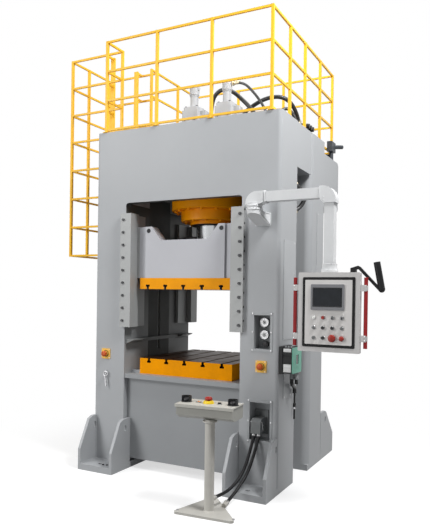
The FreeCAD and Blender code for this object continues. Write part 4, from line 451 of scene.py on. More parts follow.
gib_steel = steel("ground gib steel", (0.305, 0.311, 0.309), 0.5, (1, 1, 60), 4, 0.05, 0.25)
dress(gib_steel, "gibs_front", "gibs_rear")
dress(dark_steel, "gib_bolts")
gib_rows = [(hand, side, z) for hand, side in corners(1, 1) for z in 1.488 + 0.1255 * np.arange(9)]
washer = mm(19, 0, 19, 2.5, 17.5, 3, 13.5, 3, 13.5, 0)
add_piece("gib_washers", [turned((hand * 0.64, side * 0.685, z), (0, side, 0), washer, 20)
    for hand, side, z in gib_rows], gib_steel)
adjuster = mm(9, 0, 9, 4, 7.5, 5, 4, 5, 3.5, 1, 0, 1)
add_piece("gib_adjusting_screws", [turned((hand * 0.676, side * 0.665, z + 0.04), (hand, 0, 0), adjuster, 12)
    for hand, side, z in gib_rows], dark_steel)


# -------- slide
# Welded slide in pale enamel on an orange clamping plate, with a threaded eye in each upper
# corner to lift it by; steel wear strips run down its four corners against the gibs.
def rounded_ring(width, height, corner, radius, lift, axis, steps=5):
    """A rectangle with arcs for corners, centre +- (width/2 - corner) + radius * (cos a, sin a).

    It lies square to an axis of x, y or z, at a height of lift on it.
    """
    angle = np.linspace(0, np.pi / 2, steps) + np.arange(4)[:, None] * np.pi / 2
    side_u, side_v = np.array(((1, -1, -1, 1), (1, 1, -1, -1)))[:, :, None]
    u = (side_u * (width / 2 - corner) + radius * np.cos(angle)).ravel()
    v = (side_v * (height / 2 - corner) + radius * np.sin(angle)).ravel()
    w = np.full(4 * steps, lift)
    return np.stack({"x": (w, u, v), "y": (u, w, v), "z": (u, v, w)}[axis], -1)


def slab(centre, size, corner, edge=0.0015, axis="y"):
    """A plate with rounded corners and softened edges, size (width, height, thickness on the axis).

    Its first and last ring are drawn in by the edge radius.
    """
    width, height, thick = size
    half = thick / 2
    rings = [rounded_ring(width, height, corner, max(corner - inset, 1e-4), lift, axis)
        for lift, inset in ((-half, edge), (edge - half, 0), (half - edge, 0), (half, edge))]
    return closed_rings(np.array(centre) + np.array(rings))


dress(enamel("slide enamel", (0.492, 0.496, 0.526), 0.34, 0.03, 2.2), "slide_body")
dress(painted_sides("slide plate enamel and planed steel", (0.93, 0.36, 0.01), (0.22, 0.2, 0.18), 0.4998,
    0.5848), "slide_plate")
eye_profile = mm(21.5, 0, 21.5, 2.5, 19, 3.5, 15.5, 3.5, 15, -4, 14.8, -22, 0, -24)
add_piece("slide_lifting_eyes", [turned((x, side * 0.585, 2.383), (0, side, 0), eye_profile, 30)
    for x, side in corners(0.404, 1)], steel("oiled dark steel", (0.03, 0.03, 0.031), 0.5),
    "slide")
add_piece("slide_wear_strips", [slab((x, y, 2.17), (0.024, 0.49, 0.0022), 0.003, 0.0008)
    for x, y in corners(0.535, 0.5662)], gib_steel, "slide")


# -------- cylinder and ram
# The barrel stands in the crown on a clamping flange; a gland bolted under it guides the
# hard-chromed ram. Flange, gland and their screws are painted over in orange enamel.
def screw_circle(count, radius, z, head_r):
    """Socket screws spaced evenly round the cylinder's axis, with their heads down."""
    turns = 2 * np.pi / count * (np.arange(count) + 0.5)
    return [socket_screw((radius * np.cos(turn), radius * np.sin(turn), z), (0, 0, -1), head_r, head_r)
        for turn in turns]


orange_enamel = enamel("orange enamel", orange, 0.36, 0.05, 3.5)
dress(orange_enamel, "cylinder_flange", "gland_ring")
# The barrel is painted near black as painted shade in the crown.
dress(dark_painted_shade, "cylinder_barrel")
dress(steel("hard chrome", (0.5, 0.51, 0.525), 0.16, (1, 1, 0.04), 30, 0.04), "ram")
add_piece("cylinder_screws", screw_circle(16, 0.378, 2.618, 0.018) + screw_circle(12, 0.282, 2.511, 0.013),
    orange_enamel)
wiper = mm(212, 0, 212, 6, 206, 9, 172, 9, 166.5, 12, 166, 0)
add_piece("ram_wiper", [turned((0, 0, 2.479), (0, 0, -1), wiper, 64)], cable_rubber)


# -------- crown railing
# Welded square tube, sprayed in safety yellow like the ladder. Each post stands on a small
# plate that two bolts hold to the crown.
def hexagon_screw(at, axis, head_r, head_h):
    """Hexagon head with a chamfered crown on a thin round washer."""
    washer, head = np.array((((1.2, 0), (1.2, 0.2), (0.9, 0.22)), ((1, 0.2), (1, 0.9), (0.82, 1))))
    size = (head_r, head_h)
    return [turned(at, axis, washer * size, 24), turned(at, axis, head * size, 6)]


yellow = enamel("safety yellow enamel", (0.92, 0.515, 0.03), 0.38, 0.04, 3, 0.00012)
dress(yellow, "top_railing", "access_ladder")
crown_top = 3.4
front_posts = (-0.908, -0.3027, 0.3027, 0.908)
posts = [(x, -0.63) for x in front_posts]
posts += [(0.908, -0.175), (0.908, 0.262), (-0.908, 0.183), (-0.908, 0.303), (-0.908, -0.374)]
plate_bolts = []
for x, y in posts:
    for dy in (0.0215, -0.0005 if y < -0.6 else -0.0215):
        bolt_at = (x - math.copysign(0.0215, x), y + dy, crown_top + 0.0085)
        plate_bolts += hexagon_screw(bolt_at, up, 0.0055, 0.005)
add_piece("railing_feet", [slab((x, y, crown_top + 0.0045), (0.058, 0.058, 0.008), 0.006, 0.0012, "z")
    for x, y in posts], yellow)
add_bolts("railing_foot_bolts", plate_bolts)


# -------- ladder and cage
# Round rungs welded between two flat stiles that are braced off the left side of the frame by
# bolted pads; the cage is square tube. Small fillet welds run round the ends of the rungs, and
# beside the railing's front posts where its rails meet them.
rung_welds = [turned((-1.12, y, z), (0, way, 0), mm(18.5, 0, 16.5, 3.5, 12.7, 7), 16)
    for z in 0.37 + 0.3 * np.arange(11) for y, way in ((-0.2445, 1), (0.1735, -1))]
for post_x in front_posts:
    for z in (3.428, 3.728, 4.028, 4.328):
        for x in (post_x - 0.0135, post_x + 0.0135):
            if abs(x) < 0.9205:
                rung_welds.append(carried([(x, -0.6402, z - 0.0095), (x, -0.6402, z + 0.0095)], 0.0022, 6))
add_piece("rung_and_rail_welds", rung_welds, yellow)
pad_bolts = []
for z in (0.52, 3.275):
    for y in (-0.315, 0.244):
        pad_bolts += hexagon_screw((-1.02, y, z), (-1, 0, 0), 0.009, 0.008)
add_bolts("ladder_pad_bolts", pad_bolts)


# -------- oil tank
# Welded sheet tank hung on the rear of the crown, in the frame's enamel, with weld seams, a
# filler breather, an inspection cover on its top and an oil level gauge on its rear side.
dress(frame_enamel, "oil_tank")
tank_top = 3.297
cover_x, cover_y = -0.12, 0.97
cover_screws = []
for i in range(4):
    for j in range(4):
        if i in (0, 3) or j in (0, 3):
            x, y = cover_x - 0.2 + i * 0.1333, cover_y - 0.17 + j * 0.1133
            cover_screws += hexagon_screw((x, y, tank_top + 0.008), up, 0.0095, 0.008)
add_piece("tank_cover", [slab((cover_x, cover_y, tank_top + 0.004), (0.46, 0.4, 0.008), 0.03, 0.0015, "z")],
    frame_enamel)
add_bolts("tank_cover_screws", cover_screws)
breather = mm(50, 0, 50, 10, 34, 12, 34, 50, 45, 52, 45, 85, 40, 92, 0, 94)
add_piece("tank_breather", [turned((-0.62, 0.95, tank_top), up, breather, 36)], bolt_steel)
seam_ends = [((x, 0.72, 2.8), (x, 1.22, 2.8)) for x in (-0.9905, 0.9905)]
seam_ends += [((x, 1.2555, 2.79), (x, 1.2555, 3.23)) for x in (-0.33, 0.33)]
add_piece("tank_weld_seams", [carried(straight(*ends, 0.006), 0.0045, 8, 0.12, 0.014)
    for ends in seam_ends], frame_enamel)


def clear_glass(name, colour, roughness=0.08):
    """A glossy pane with a dark ground that drifts a little."""
    material = surface(name, colour, roughness, 0.25, 14, (-0.4 * roughness, 0.6 * roughness), None, 0.2)
    fill(parts_of(material)[0], Coat_Weight=0.12)
    return material


add_piece("oil_level_glass", [slab((-0.7, 1.2562, 3), (0.018, 0.13, 0.002), 0.004, 0.0006)],
    clear_glass("oil level glass", (0.35, 0.22, 0.03)))


# -------- prefill valves
# Two cast-iron valve bodies painted light grey on the cylinder's cap: a square block, a turned
# neck and a cap, with socket screws at the block's corners and a pilot union in the cap.
valve_paint = enamel("valve paint", (0.5, 0.51, 0.525), 0.42, 0.08, 9, 0.0009, 160)
dress(valve_paint, "prefill_valves")
valve_y, block_top, block_front = -0.15, 3.685, -0.245
valve_screws = []
valve_rings = []
for x in (-0.15, 0.228):
    valve_screws += [socket_screw((x + dx, valve_y + dy, block_top), up, 0.012, 0.012)
        for dx, dy in corners(0.062, 0.062)]
    valve_screws += [socket_screw((x + dx, block_front, z), forward, 0.009, 0.008)
        for z in (3.46, 3.55) for dx in (-0.055, 0.055)]
    valve_rings += [turned((x, valve_y, z), up, profile, 40)
        for z, profile in ((block_top, mm(66, 0, 66, 8, 60, 12, 45, 14)),
        (3.806, mm(44.5, 0, 47.5, 4, 47.5, 10, 44.5, 14)),
        (3.904, mm(50, -12, 51.2, -8, 51.2, -2, 46, 7, 0, 8)))]
    valve_rings.append(turned((x, block_front, 3.505), forward, mm(32, 0, 32, 6, 29, 9, 20, 10, 0, 10), 32))
add_piece("valve_screws", valve_screws, dark_steel)
add_piece("valve_rings", valve_rings, valve_paint)


# -------- pump unit
# Electric motor with cooling fins, bell housing and pump in black paint on the tank, with a fan
# cowl on the end that faces the crown; the suction valve's lever stands clear of the railing.
pump_black = enamel("pump paint", (0.055, 0.06, 0.068), 0.42, 0.2, 11)
dress(pump_black, "pump_unit")
motor_x, motor_z, fin_r = 0.735, tank_top + 0.129, 0.0955
fins = []
for turn in 2 * np.pi * np.arange(28) / 28:
    if not -2.2 < turn - 2 * np.pi < -0.94:
        x, z = motor_x + fin_r * np.cos(turn), motor_z + fin_r * np.sin(turn)
        fins.append(carried(straight((x, 0.84, z), (x, 0.985, z), 0.03), 0.0026, 6))
cowl = mm(96.2, -30, 97.5, -26, 97.5, 8, 90, 14.5, 30, 15, 0, 14.5)
fins.append(turned((motor_x, 0.81, motor_z), forward, cowl, 40))
angle = np.linspace(0, 2 * np.pi, 49)
circle = np.stack([np.cos(angle), 0 * angle, np.sin(angle)], -1)
grille = [carried(r * circle + (motor_x, 0.7945, motor_z), 0.0018, 6) for r in (0.03, 0.045, 0.06, 0.075)]
add_piece("motor_fins_and_cowl", fins + grille, pump_black)


# -------- valve block on the crown
# Drilled steel block, blackened, with three cast solenoid valves; each coil has a moulded
# connector plug, and four socket screws hold each valve down.
dress(dark_steel, "valve_manifold")
plugs = []
hold_screws = []
for y in (0.458, 0.528, 0.598):
    plugs.append(slab((0.874, y, 3.554), (0.026, 0.034, 0.026), 0.004, 0.002, "z"))
    plugs.append(turned((0.887, y, 3.542), (1, 0, 0), mm(25.5, -30, 25.5, 8, 22, 11.5, 12, 12.5, 0, 12.5)))
    hold_screws += [socket_screw((0.802 + dx, y + dy, 3.572), up, 0.0055, 0.005)
        for dx, dy in corners(0.034, 0.022)]
add_piece("solenoid_coils_and_plugs", plugs, rubber("coil moulding", (0.03, 0.03, 0.032), 0.36))
add_bolts("valve_hold_down_screws", hold_screws)


# -------- hydraulic hoses
# Wire-braided rubber hoses with crimped ferrules and union nuts: two big ones and a thin pilot
# hose on the crown, three to the valve block, and a loop in the side gap.
hose_cover = surface("hose cover", (0.016, 0.016, 0.017), 0.33, 0.4, 12, (-0.09, 0.15), (420, 0.0007, 0.6))
dress(hose_cover, "crown_hoses", "gap_hose")


def union(at, axis, hose_r):
    """Hexagon union nut and a crimped ferrule with rolled grooves, standing at a hose's end."""
    nut = mm(10, 1, 12, 4, 12, 19, 10, 22) + (hose_r, 0)
    grooves = [mm(5.5, h, 5.5, h + 6, 3.5, h + 7.5, 3.5, h + 9.5) for h in (28, 39, 50, 61, 72)]
    ferrule = np.concatenate([mm(2, 22), *grooves, mm(1, 86)]) + (hose_r, 0)
    return [turned(at, axis, nut, 6), turned(at, axis, ferrule, 24)]


big_r, pilot_r, pressure_r = 0.021, 0.013, 0.017
hose_ends = [((-0.012, -0.02, crown_top), up, big_r), ((0.52, -0.025, crown_top), up, big_r),
    ((0.284, -0.15, 3.886), (1, 0, 0), pilot_r), ((0.692, -0.175, crown_top), up, pilot_r),
    ((0.228, 0.005, 3.585), (0, 1, 0), big_r), ((0.802, 0.396, 3.51), up, big_r),
    ((0.965, -0.22, 2.824), (0, 1, 0), big_r), ((0.965, -0.22, 2.564), (0, 1, 0), big_r)]
hose_ends += [((0.52 + 0.066 * i, 0.092 - 0.012 * i, crown_top), up, pressure_r) for i in range(3)]
hose_ends += [((0.752 + 0.05 * i, 0.37, 3.456), forward, pressure_r) for i in range(3)]
add_piece("hose_unions", [part for end in hose_ends for part in union(*end)],
    steel("yellow-plated steel", (0.6, 0.52, 0.36), 0.3))


# -------- gauge recess
# A pressed steel tray, powder-coated pale grey and held by six screws, with two glycerine
# pressure gauges and the black knob of the pressure regulator.
def turned_at(places, axis, profile, sides=28):
    """Like turned solids, one at each place."""
    return [turned(place, axis, profile, sides) for place in places]


dress(enamel("tray powder coat", (0.385, 0.4, 0.41), 0.42, 0.05, 6), "gauge_panel", "socket_panel")
brushed = steel("brushed stainless steel", (0.36, 0.36, 0.365), 0.34, (1, 1, 14), 60, 0.06)
dress(brushed, "pressure_gauges")
dial_white = surface("dial white", (0.35, 0.357, 0.36), 0.45, 0.04, 40, (-0.09, 0.05))
black_ink = rubber("black moulding", (0.009, 0.009, 0.0095), 0.45)
gauge_rim = mm(39.5, -12, 40.3, -10, 40.3, 3, 38.5, 5.2, 35.2, 5, 34.5, 1)
dials = []
marks = []
gauge_rims = []
for z, reading in ((1.519, 2.3), (1.409, -0.55)):
    centre = np.array((0.869, -0.629, z))
    dials.append(turned(centre, forward, mm(34.8, 0, 34.6, 0.8, 20, 1, 0, 1.1), 48))
    gauge_rims.append(turned(centre, forward, gauge_rim, 56))
    for k in range(31):
        turn = math.radians(225 - 9 * k)
        inner, mark_r = (0.0295, 0.0004) if k % 5 else (0.0265, 0.0007)
        spoke = np.array((math.cos(turn), 0, math.sin(turn)))
        marks.append(carried([centre + spoke * r + (0, -0.0012, 0) for r in (inner, 0.0325)], mark_r, 5))
    needle = np.array((math.cos(reading), 0, math.sin(reading)))
    line = centre + np.linspace(-0.009, 0.028, 12)[:, None] * needle + (0, -0.0024, 0)
    marks.append(carried(line, np.linspace(0.0018, 0.0005, 12), 6))
    marks.append(turned(centre + (0, -0.001, 0), forward, mm(4.2, 0, 4.2, 2, 3, 3, 0, 3.1), 20))
add_piece("gauge_dials", dials, dial_white)
add_piece("gauge_rims", gauge_rims, brushed)
add_piece("gauge_marks_and_needles", marks, black_ink)
knob_black = rubber("moulded black plastic", (0.022, 0.022, 0.023), 0.34)
dress(knob_black, "regulator_knob")
cap = mm(18.5, -1, 18.5, 0.6, 17.5, 1.2, 6, 1.2, 0, 0.4)
add_piece("regulator_cap", [turned((0.865, -0.594, 1.322), forward, cap, 32)], knob_black,
    "regulator")
add_piece("regulator_mark", [carried([(0.865, -0.5954, 1.328), (0.865, -0.5954, 1.338)], 0.0009, 6)],
    dial_white, "regulator")
tray_screw = mm(7.8, 0, 7.8, 1.2, 6.2, 2.6, 3.4, 3, 3, 1.4, 0, 1.2)
tray_rims = ((0.853, 1.432, 0.0895, 0.163), (0.842, 0.636, 0.108, 0.182))
spots = [(x + hand * half_width, -0.653, z + row * half_height)
    for x, z, half_width, half_height in tray_rims for hand in (1, -1) for row in (-1, 0, 1)]
add_bolts("recess_screws", turned_at(spots, forward, tray_screw, 20))


# -------- socket recess
# A cast connector hood on the tray's back plate, locked by a wire lever, with a silver gland
# for each of the stand's two leads.
dress(enamel("cast hood paint", (0.17, 0.178, 0.18), 0.46, 0.1, 14, 0.0008, 240), "connector_hood")
hood_x, wire_r = 0.812, 0.0028
wire_ends = [(hood_x + d, -0.65, 0.632) for d in (-0.0535, 0.0535)]
lever_wire = [carried(straight(*wire_ends, 0.01), wire_r, 8)]
pivot = mm(6.5, 0, 6.5, 4, 4, 5.5, 0, 5.8)
for hand, end in zip((-1, 1), wire_ends):
    x = hood_x + hand * 0.0535
    lever_wire.append(carried([(x, -0.622, 0.556), (x, -0.63, 0.59), (x, -0.641, 0.62), end], wire_r, 8))
    lever_wire.append(turned((hood_x + hand * 0.0505, -0.618, 0.6), (hand, 0, 0), pivot, 16))
add_bolts("hood_lever", lever_wire)
down = np.array((0, -0.5, -0.8660254))
gland_body, gland_nut = mm(21.5, 0, 21.5, 12, 20, 14), mm(19.5, 0, 19.5, 10, 17.5, 17, 15.5, 18.5, 14.2, 18.5)
hood_glands = []
strain_reliefs = []
for points in (front_points, rear_points):
    mouth = np.array(points[0])
    hood_glands.append(turned(mouth - down * 0.033, down, gland_body, 6))
    hood_glands.append(turned(mouth - down * 0.018, down, gland_nut, 32))
    strain_reliefs.append(turned(mouth, down, mm(16.8, -1, 16.8, 6, 15, 22, 14.3, 34)))
add_piece("lead_glands", hood_glands, brushed)
add_piece("lead_strain_reliefs", strain_reliefs, cable_rubber)


# -------- emergency stops on the columns
# A cast yellow housing plate screwed to each column; its latching red mushroom head has a
# turned rim and a shallow dome, moulded in glossy red plastic.
def moulded(name, colour, roughness=0.3):
    """Injection-moulded plastic: even colour with a faint drift, fine grain, clear gloss."""
    return surface(name, colour, roughness, 0.05, 30, (-0.05, 0.07), (1400, 0.00008, 0.5), 0.25)


stop_red = moulded("red button plastic", (0.3, 0.026, 0.019), 0.3)
column_stop_red = moulded("orange-red button plastic", (0.5, 0.085, 0.012), 0.3)
dress(moulded("yellow housing", (0.88, 0.52, 0.09), 0.42), "estop_plates")


def mushroom_button(name, node, body, slot, finish, at, axis, stem_r, stem_l, head_r, head_h, sides=56):
    """A push button turned in one profile: stem, dished underside, rolled rim and a domed top."""
    turn = np.linspace(0, np.pi / 2, 9)[1:]
    dome = np.c_[0.94 * np.cos(turn), 0.57 + 0.43 * np.sin(turn)]
    head = np.array([(0.86, 0), (0.96, 0.04), (1, 0.14), (1, 0.42), (0.975, 0.52), (0.94, 0.57), *dome])
    profile = [(stem_r, 0), (stem_r, stem_l), *(head * (head_r, head_h) + (0, stem_l))]
    piece = add_piece(name, [turned(at, axis, profile, sides)], finish, body, 30)
    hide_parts(node)


stop_screw = mm(4.5, 0, 4.5, 1, 3.6, 2.2, 1.8, 2.4, 1.6, 1.2, 0, 1.2)
collar_ring = mm(33.5, 0, 33.5, 3, 31.5, 5, 30.2, 5, 30.2, 0)
stop_screws = []
collar_rings = []
for side, x, z in (("left", -0.864, 1.142), ("right", 0.849, 1.126)):
    mushroom_button(f"column_stop_head_{side}", f"column_stop_{side}", f"stop_{side}", "red_plastic",
        column_stop_red, (x, -0.652, z), forward, 0.012, 0.021, 0.03, 0.026)
    spots = [(x + dx, -0.653, z + dz) for dx, dz in corners(0.042, 0.042)]
    stop_screws += turned_at(spots, forward, stop_screw, 16)
    collar_rings.append(turned((x, -0.653, z), forward, collar_ring, 48))
add_bolts("stop_plate_screws", stop_screws)
add_piece("stop_collar_rings", collar_rings, black_ink)


# -------- relay unit
# Electronic relay on the right column's side: black moulded body with white terminal strips, a
# mint-green cover with a window on its outer side, grey plugs below, and its conduit.
mint_colour = (0.155, 0.42, 0.318)
mint = moulded("mint-green cover", mint_colour, 0.36)


def two_tone(name, first, second, axis, limit, roughness):
    """Moulded plastic in two colours, the second where the coordinate is past a limit."""
    material = surface(name, first, roughness, 0.06, 30, (-0.05, 0.07), (1400, 0.00008, 0.5), 0.2)
    lay_over(material, outside(parts_of(material)[1], axis, limit), second, 0.06, 30)
    return material


dress(two_tone("relay body and green cover", (0.014, 0.0145, 0.015), mint_colour, "X", 1.1288, 0.4),
    "relay_unit")


def frame_plate(centre, size, opening, corner, thick, axis="x"):
    """A rounded plate with a rounded window: three rings round its outside and three round its
    window, joined into one closed band."""
    size, opening = np.array(size), np.array(opening)
    outlines = ((size, corner, 0), (size, corner, thick * 0.7), (size - thick * 0.6, corner, thick),
        (opening + thick * 0.4, corner * 0.6, thick), (opening, corner * 0.5, thick * 0.7),
        (opening, corner * 0.5, 0))
    rings = np.array([rounded_ring(*outline, r, r, lift, axis, 6) for outline, r, lift in outlines])
    points = np.array(centre) + rings.reshape(-1, 3)
    faces = faces_between(*rings.shape[:2], True, True)
    return points, (faces if volume_in(points, faces) > 0 else faces[:, ::-1]).tolist()


window_y, window_z = -0.5105, 1.197
rim = frame_plate((1.1378, window_y, window_z), (0.086, 0.1), (0.07, 0.084), 0.006, 0.0022)
add_piece("relay_cover_rim", [rim], mint)
add_piece("relay_window", [slab((1.135, window_y, window_z), (0.068, 0.082, 0.0014), 0.005, 0.0004, "x")],
    clear_glass("tinted relay window", (0.05, 0.075, 0.065)))
rib = (0.12, 0.0024, 0.0012)
add_piece("relay_cover_ribs", [slab((1.1384, window_y, 1.104 + 0.006 * k), rib, 0.001, 0.0004, "x")
    for k in range(6)], mint)
terminal_white = moulded("terminal white plastic", (0.7, 0.71, 0.7), 0.4)
add_piece("relay_terminal_strips", [slab((1.085, -0.6245, z), (0.07, height, 0.004), 0.003, 0.0012)
    for z, height in ((1.281, 0.03), (1.125, 0.07))], terminal_white)
spots = [(1.058 + 0.0135 * k, -0.6264, z) for z in (1.281, 1.143, 1.108) for k in range(5)]
add_bolts("relay_terminal_screws", turned_at(spots, forward, mm(4.5, 0, 4.5, 1, 3.4, 1.8, 0, 1.6), 12))
grey_plastic = moulded("grey plug plastic", (0.3, 0.31, 0.32), 0.4)
plug_shells = []
for x in (1.065, 1.108):
    plug_shells += [turned((x, -0.442, z), (0, 0, -1), mm(20.3, 0.5, 21.8, 2, 21.8, 9, 20.3, 11), 30)
        for z in (1.078, 1.064, 1.028)]
    plug_shells.append(turned((x, -0.442, 1.078), (0, 0, -1), mm(20.4, 0, 20.4, 69, 16.5, 70.5), 30))
add_piece("relay_plug_shells", plug_shells, grey_plastic)
spots = [(x, -0.593, 1.304) for x in (1.06, 1.086, 1.112)]
add_piece("relay_knobs", turned_at(spots, up, mm(7.8, 0, 7.8, 12, 6.4, 14.8, 0, 15), 24), grey_plastic)
spots = [(1.038, -0.294, z) for z in (0.93, 0.72)]
add_bolts("conduit_clips", turned_at(spots, up, mm(10.5, -9, 12.5, -8, 12.5, 8, 10.5, 9), 24))


# -------- access covers and shelf bracket
# Folded sheet covers on the columns' right side in pale enamel, held by pan-head screws, and a
# folded shelf bracket in darker grey on the wall inside the left of the window.
dress(enamel("cover enamel", (0.435, 0.447, 0.46), 0.38, 0.04, 4), "side_covers")
dress(enamel("shelf enamel", (0.2, 0.207, 0.205), 0.45, 0.08, 6), "shelf_bracket")
cover_screw = mm(7.5, 0, 7.5, 0.8, 5.5, 3.2, 2.6, 3.6, 2.4, 2, 0, 2)
covers = ((-0.545, -0.257, 1.362, 2.263, 4), (-0.515, -0.315, 0.83, 1.06, 2), (0.405, 0.6, 1.99, 2.62, 3))
spots = [(1.014, y, z) for y0, y1, z0, z1, rows in covers for y in (y0 + 0.016, y1 - 0.016)
    for z in np.linspace(z0 + 0.018, z1 - 0.018, rows)]
add_bolts("cover_screws", turned_at(spots, (1, 0, 0), cover_screw, 20))


# -------- wall bracket and pendant arm
# Cast aluminium bracket and elbows, powder-coated pale grey, with a square aluminium tube
# between them; the panel hangs on the drop tube and turns on its ball-bearing collar.
arm_coat = enamel("pale grey powder coat", (0.7, 0.71, 0.718), 0.42, 0.03, 7, 0.0007, 520)
dress(arm_coat, "wall_bracket", "pendant_arm")
swivel_x, swivel_y, drop_x = 0.85, -0.845, 1.516
bracket_bits = []
for x in (swivel_x - 0.0665, swivel_x + 0.0665):
    bracket_bits.append(carried(straight((x, -0.648, 2.478), (x, -0.83, 2.478), 0.02), 0.004, 8))
    bracket_bits.append(carried(straight((x, -0.648, 2.386), (x, -0.8, 2.442), 0.02), 0.004, 8))
for z, profile in ((2.4865, mm(70, 0, 71.5, 3, 71.5, 9, 69.5, 13, 68, 20)),
        (2.5165, mm(66.8, 0, 69.5, 3, 69.5, 14, 67, 18))):
    bracket_bits.append(turned((swivel_x, swivel_y, z), up, profile, 56))
add_piece("bracket_ribs_and_rings", bracket_bits, arm_coat)
flange = frame_plate((swivel_x, -face_y, 2.4325), (0.15, 0.112), (0.118, 0.08), 0.01, -0.006, "y")
add_piece("bracket_wall_flange", [flange], arm_coat)
set_screws = []
for z in (2.502, 2.526):
    for turn in (-2.2, -0.9):
        away = np.array((math.cos(turn), math.sin(turn), 0))
        set_screws.append(socket_screw((swivel_x, swivel_y, z) + 0.0695 * away, away, 0.0045, 0.003))
add_piece("bracket_set_screws", set_screws, arm_coat)
collars = [frame_plate((x, swivel_y, 2.5955), (0.099, 0.0995), (0.0846, 0.0856), 0.008, 0.008)
    for x in (0.956, 1.434)]
collars.append(turned((drop_x, swivel_y, 2.021), (0, 0, -1), mm(59.5, 0, 61.2, 2, 61.2, 6, 59.5, 8), 48))
collars.append(turned((drop_x, swivel_y, 1.977), (0, 0, -1), mm(65.2, 0, 66.8, 3, 66.8, 22, 65, 25.5), 56))
add_piece("arm_collars", collars, arm_coat, "arm")
spots = ((0.935, 2.572), (0.935, 2.622), (0.905, 2.572), (0.905, 2.622), (1.468, 2.535), (1.468, 2.56))
add_piece("arm_screws", [socket_screw((x, -0.893, z), forward, 0.005, 0.003) for x, z in spots], arm_coat,
    "arm")


# -------- operator panel
# Aluminium housing on the drop tube's collar, a paler door clamped in a black rubber seal, a
# touch screen in a moulded bezel, and three rows of controls in silver bezels.
panel_x, panel_top, door_y = 1.532, 1.9505, -0.927
case_coat = enamel("panel frame coat", (0.58, 0.568, 0.56), 0.4, 0.04, 9, 0.0006, 520)
door_coat = enamel("panel door coat", (0.67, 0.652, 0.637), 0.4, 0.03, 9, 0.0006, 520)
dress(case_coat, "panel_case")
dress(door_coat, "panel_door")
dress(rubber("panel seal rubber", (0.006, 0.006, 0.0065), 0.5), "panel_seal")
dress(moulded("screen bezel plastic", (0.205, 0.208, 0.22), 0.42), "panel_screen")
dress(brushed, "panel_lamps")
screen_x, screen_z = 1.526, 1.7525
add_piece("screen_glass", [slab((screen_x, -0.9358, screen_z), (0.226, 0.14, 0.0016), 0.004, 0.0005)],
    clear_glass("dark screen glass", (0.012, 0.015, 0.019), 0.07), "panel")
trim = frame_plate((screen_x, -0.937, screen_z), (0.238, 0.152), (0.229, 0.143), 0.005, -0.0008, "y")
add_piece("screen_trim", [trim], black_ink, "panel")


def control_place(column, row, lift):
    """Middle of one control on the door, a given distance in front of it."""
    return np.array((panel_x - 0.116 + 0.076 * column, door_y - lift, panel_top - 0.36 - 0.081 * row))


bezel = mm(17.2, 0, 17.2, 1.2, 16.6, 3, 15, 4.6, 13.7, 4.6, 13.4, 3.6)
controls = [(column, row) for column in range(4) for row in range(3)]
add_piece("control_rims", [turned(control_place(*spot, 0), forward, bezel, 40) for spot in controls],
    brushed, "panel")
add_piece("blank_label_plates", [slab(control_place(*spot, 0.0004) + (0, 0, 0.0262), (0.03, 0.0105, 0.0008),
    0.001, 0.0003) for spot in controls], door_coat, "panel")


def lens(name, colour):
    """Lamp lens: coloured plastic with a bright even face and a glossy coat."""
    material = moulded(name, colour, 0.22)
    fill(parts_of(material)[0], Coat_Weight=0.5)
    return material


lens_white = lens("white lamp lens", (0.8, 0.8, 0.76))
lens_grey = lens("grey lamp lens", (0.13, 0.135, 0.135))
for column, row, finish in ((0, 0, lens_white), (0, 1, lens_grey), (3, 1, lens_grey), (0, 2, lens_grey)):
    add_piece(f"lamp_lens_{column}_{row}", [turned(control_place(column, row, 0.004), forward,
        mm(13.4, 0, 13.4, 5.2, 12, 6.6, 9, 7.2, 0, 7.6), 36)], finish, "panel")


def flat_cap(name, node, body, finish, column, row):
    """Push button cap with a rounded rim and a shallow dish, on its guide stem."""
    profile = mm(10, 0, 10, 10, 12.2, 10, 13, 11, 13, 14.8, 12.2, 16.4, 11, 16.6, 8, 15.8, 0, 15.4)
    piece = add_piece(name, [turned(control_place(column, row, -0.001), forward, profile, 40)], finish,
        body, 30)
    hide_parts(node)


button_black = moulded("black button plastic", (0.022, 0.022, 0.024), 0.3)
flat_cap("red_button_cap", "panel_red_button", "red_button", stop_red, 1, 0)
for which, column, row in (("left", 1, 1), ("right", 2, 1), ("low", 1, 2)):
    flat_cap(f"black_button_cap_{which}", f"panel_black_button_{which}", f"black_button_{which}",
        button_black, column, row)
dress(button_black, "panel_selector_left", "panel_selector_right")
for which, column in (("left", 2), ("right", 3)):
    at = control_place(column, 0, 0)
    pointer = slab(at + (0, -0.02305, 0.0045), (0.0014, 0.013, 0.0006), 0.0006, 0.0002)
    disc = turned(at + (0, -0.0112, 0), forward, mm(13.1, 0, 13.1, 0.6, 12, 1.2, 0, 1.2), 36)
    add_piece(f"selector_pointer_{which}", [pointer, disc], dial_white, f"selector_{which}")
mushrooms = (("panel_stop_head", "panel_stop", "panel_emergency_stop", 2),
    ("panel_mushroom_head", "panel_mushroom", "panel_mushroom_button", 3))
for name, node, body, column in mushrooms:
    low, high = np.array(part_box(node))
    at = control_place(column, 2, 0)
    at[1] = high[1]
    mushroom_button(name, node, body, "red_plastic", stop_red, at, forward, 0.01, high[1] - low[1] - 0.02,
        (high[0] - low[0]) / 2, 0.02, 48)

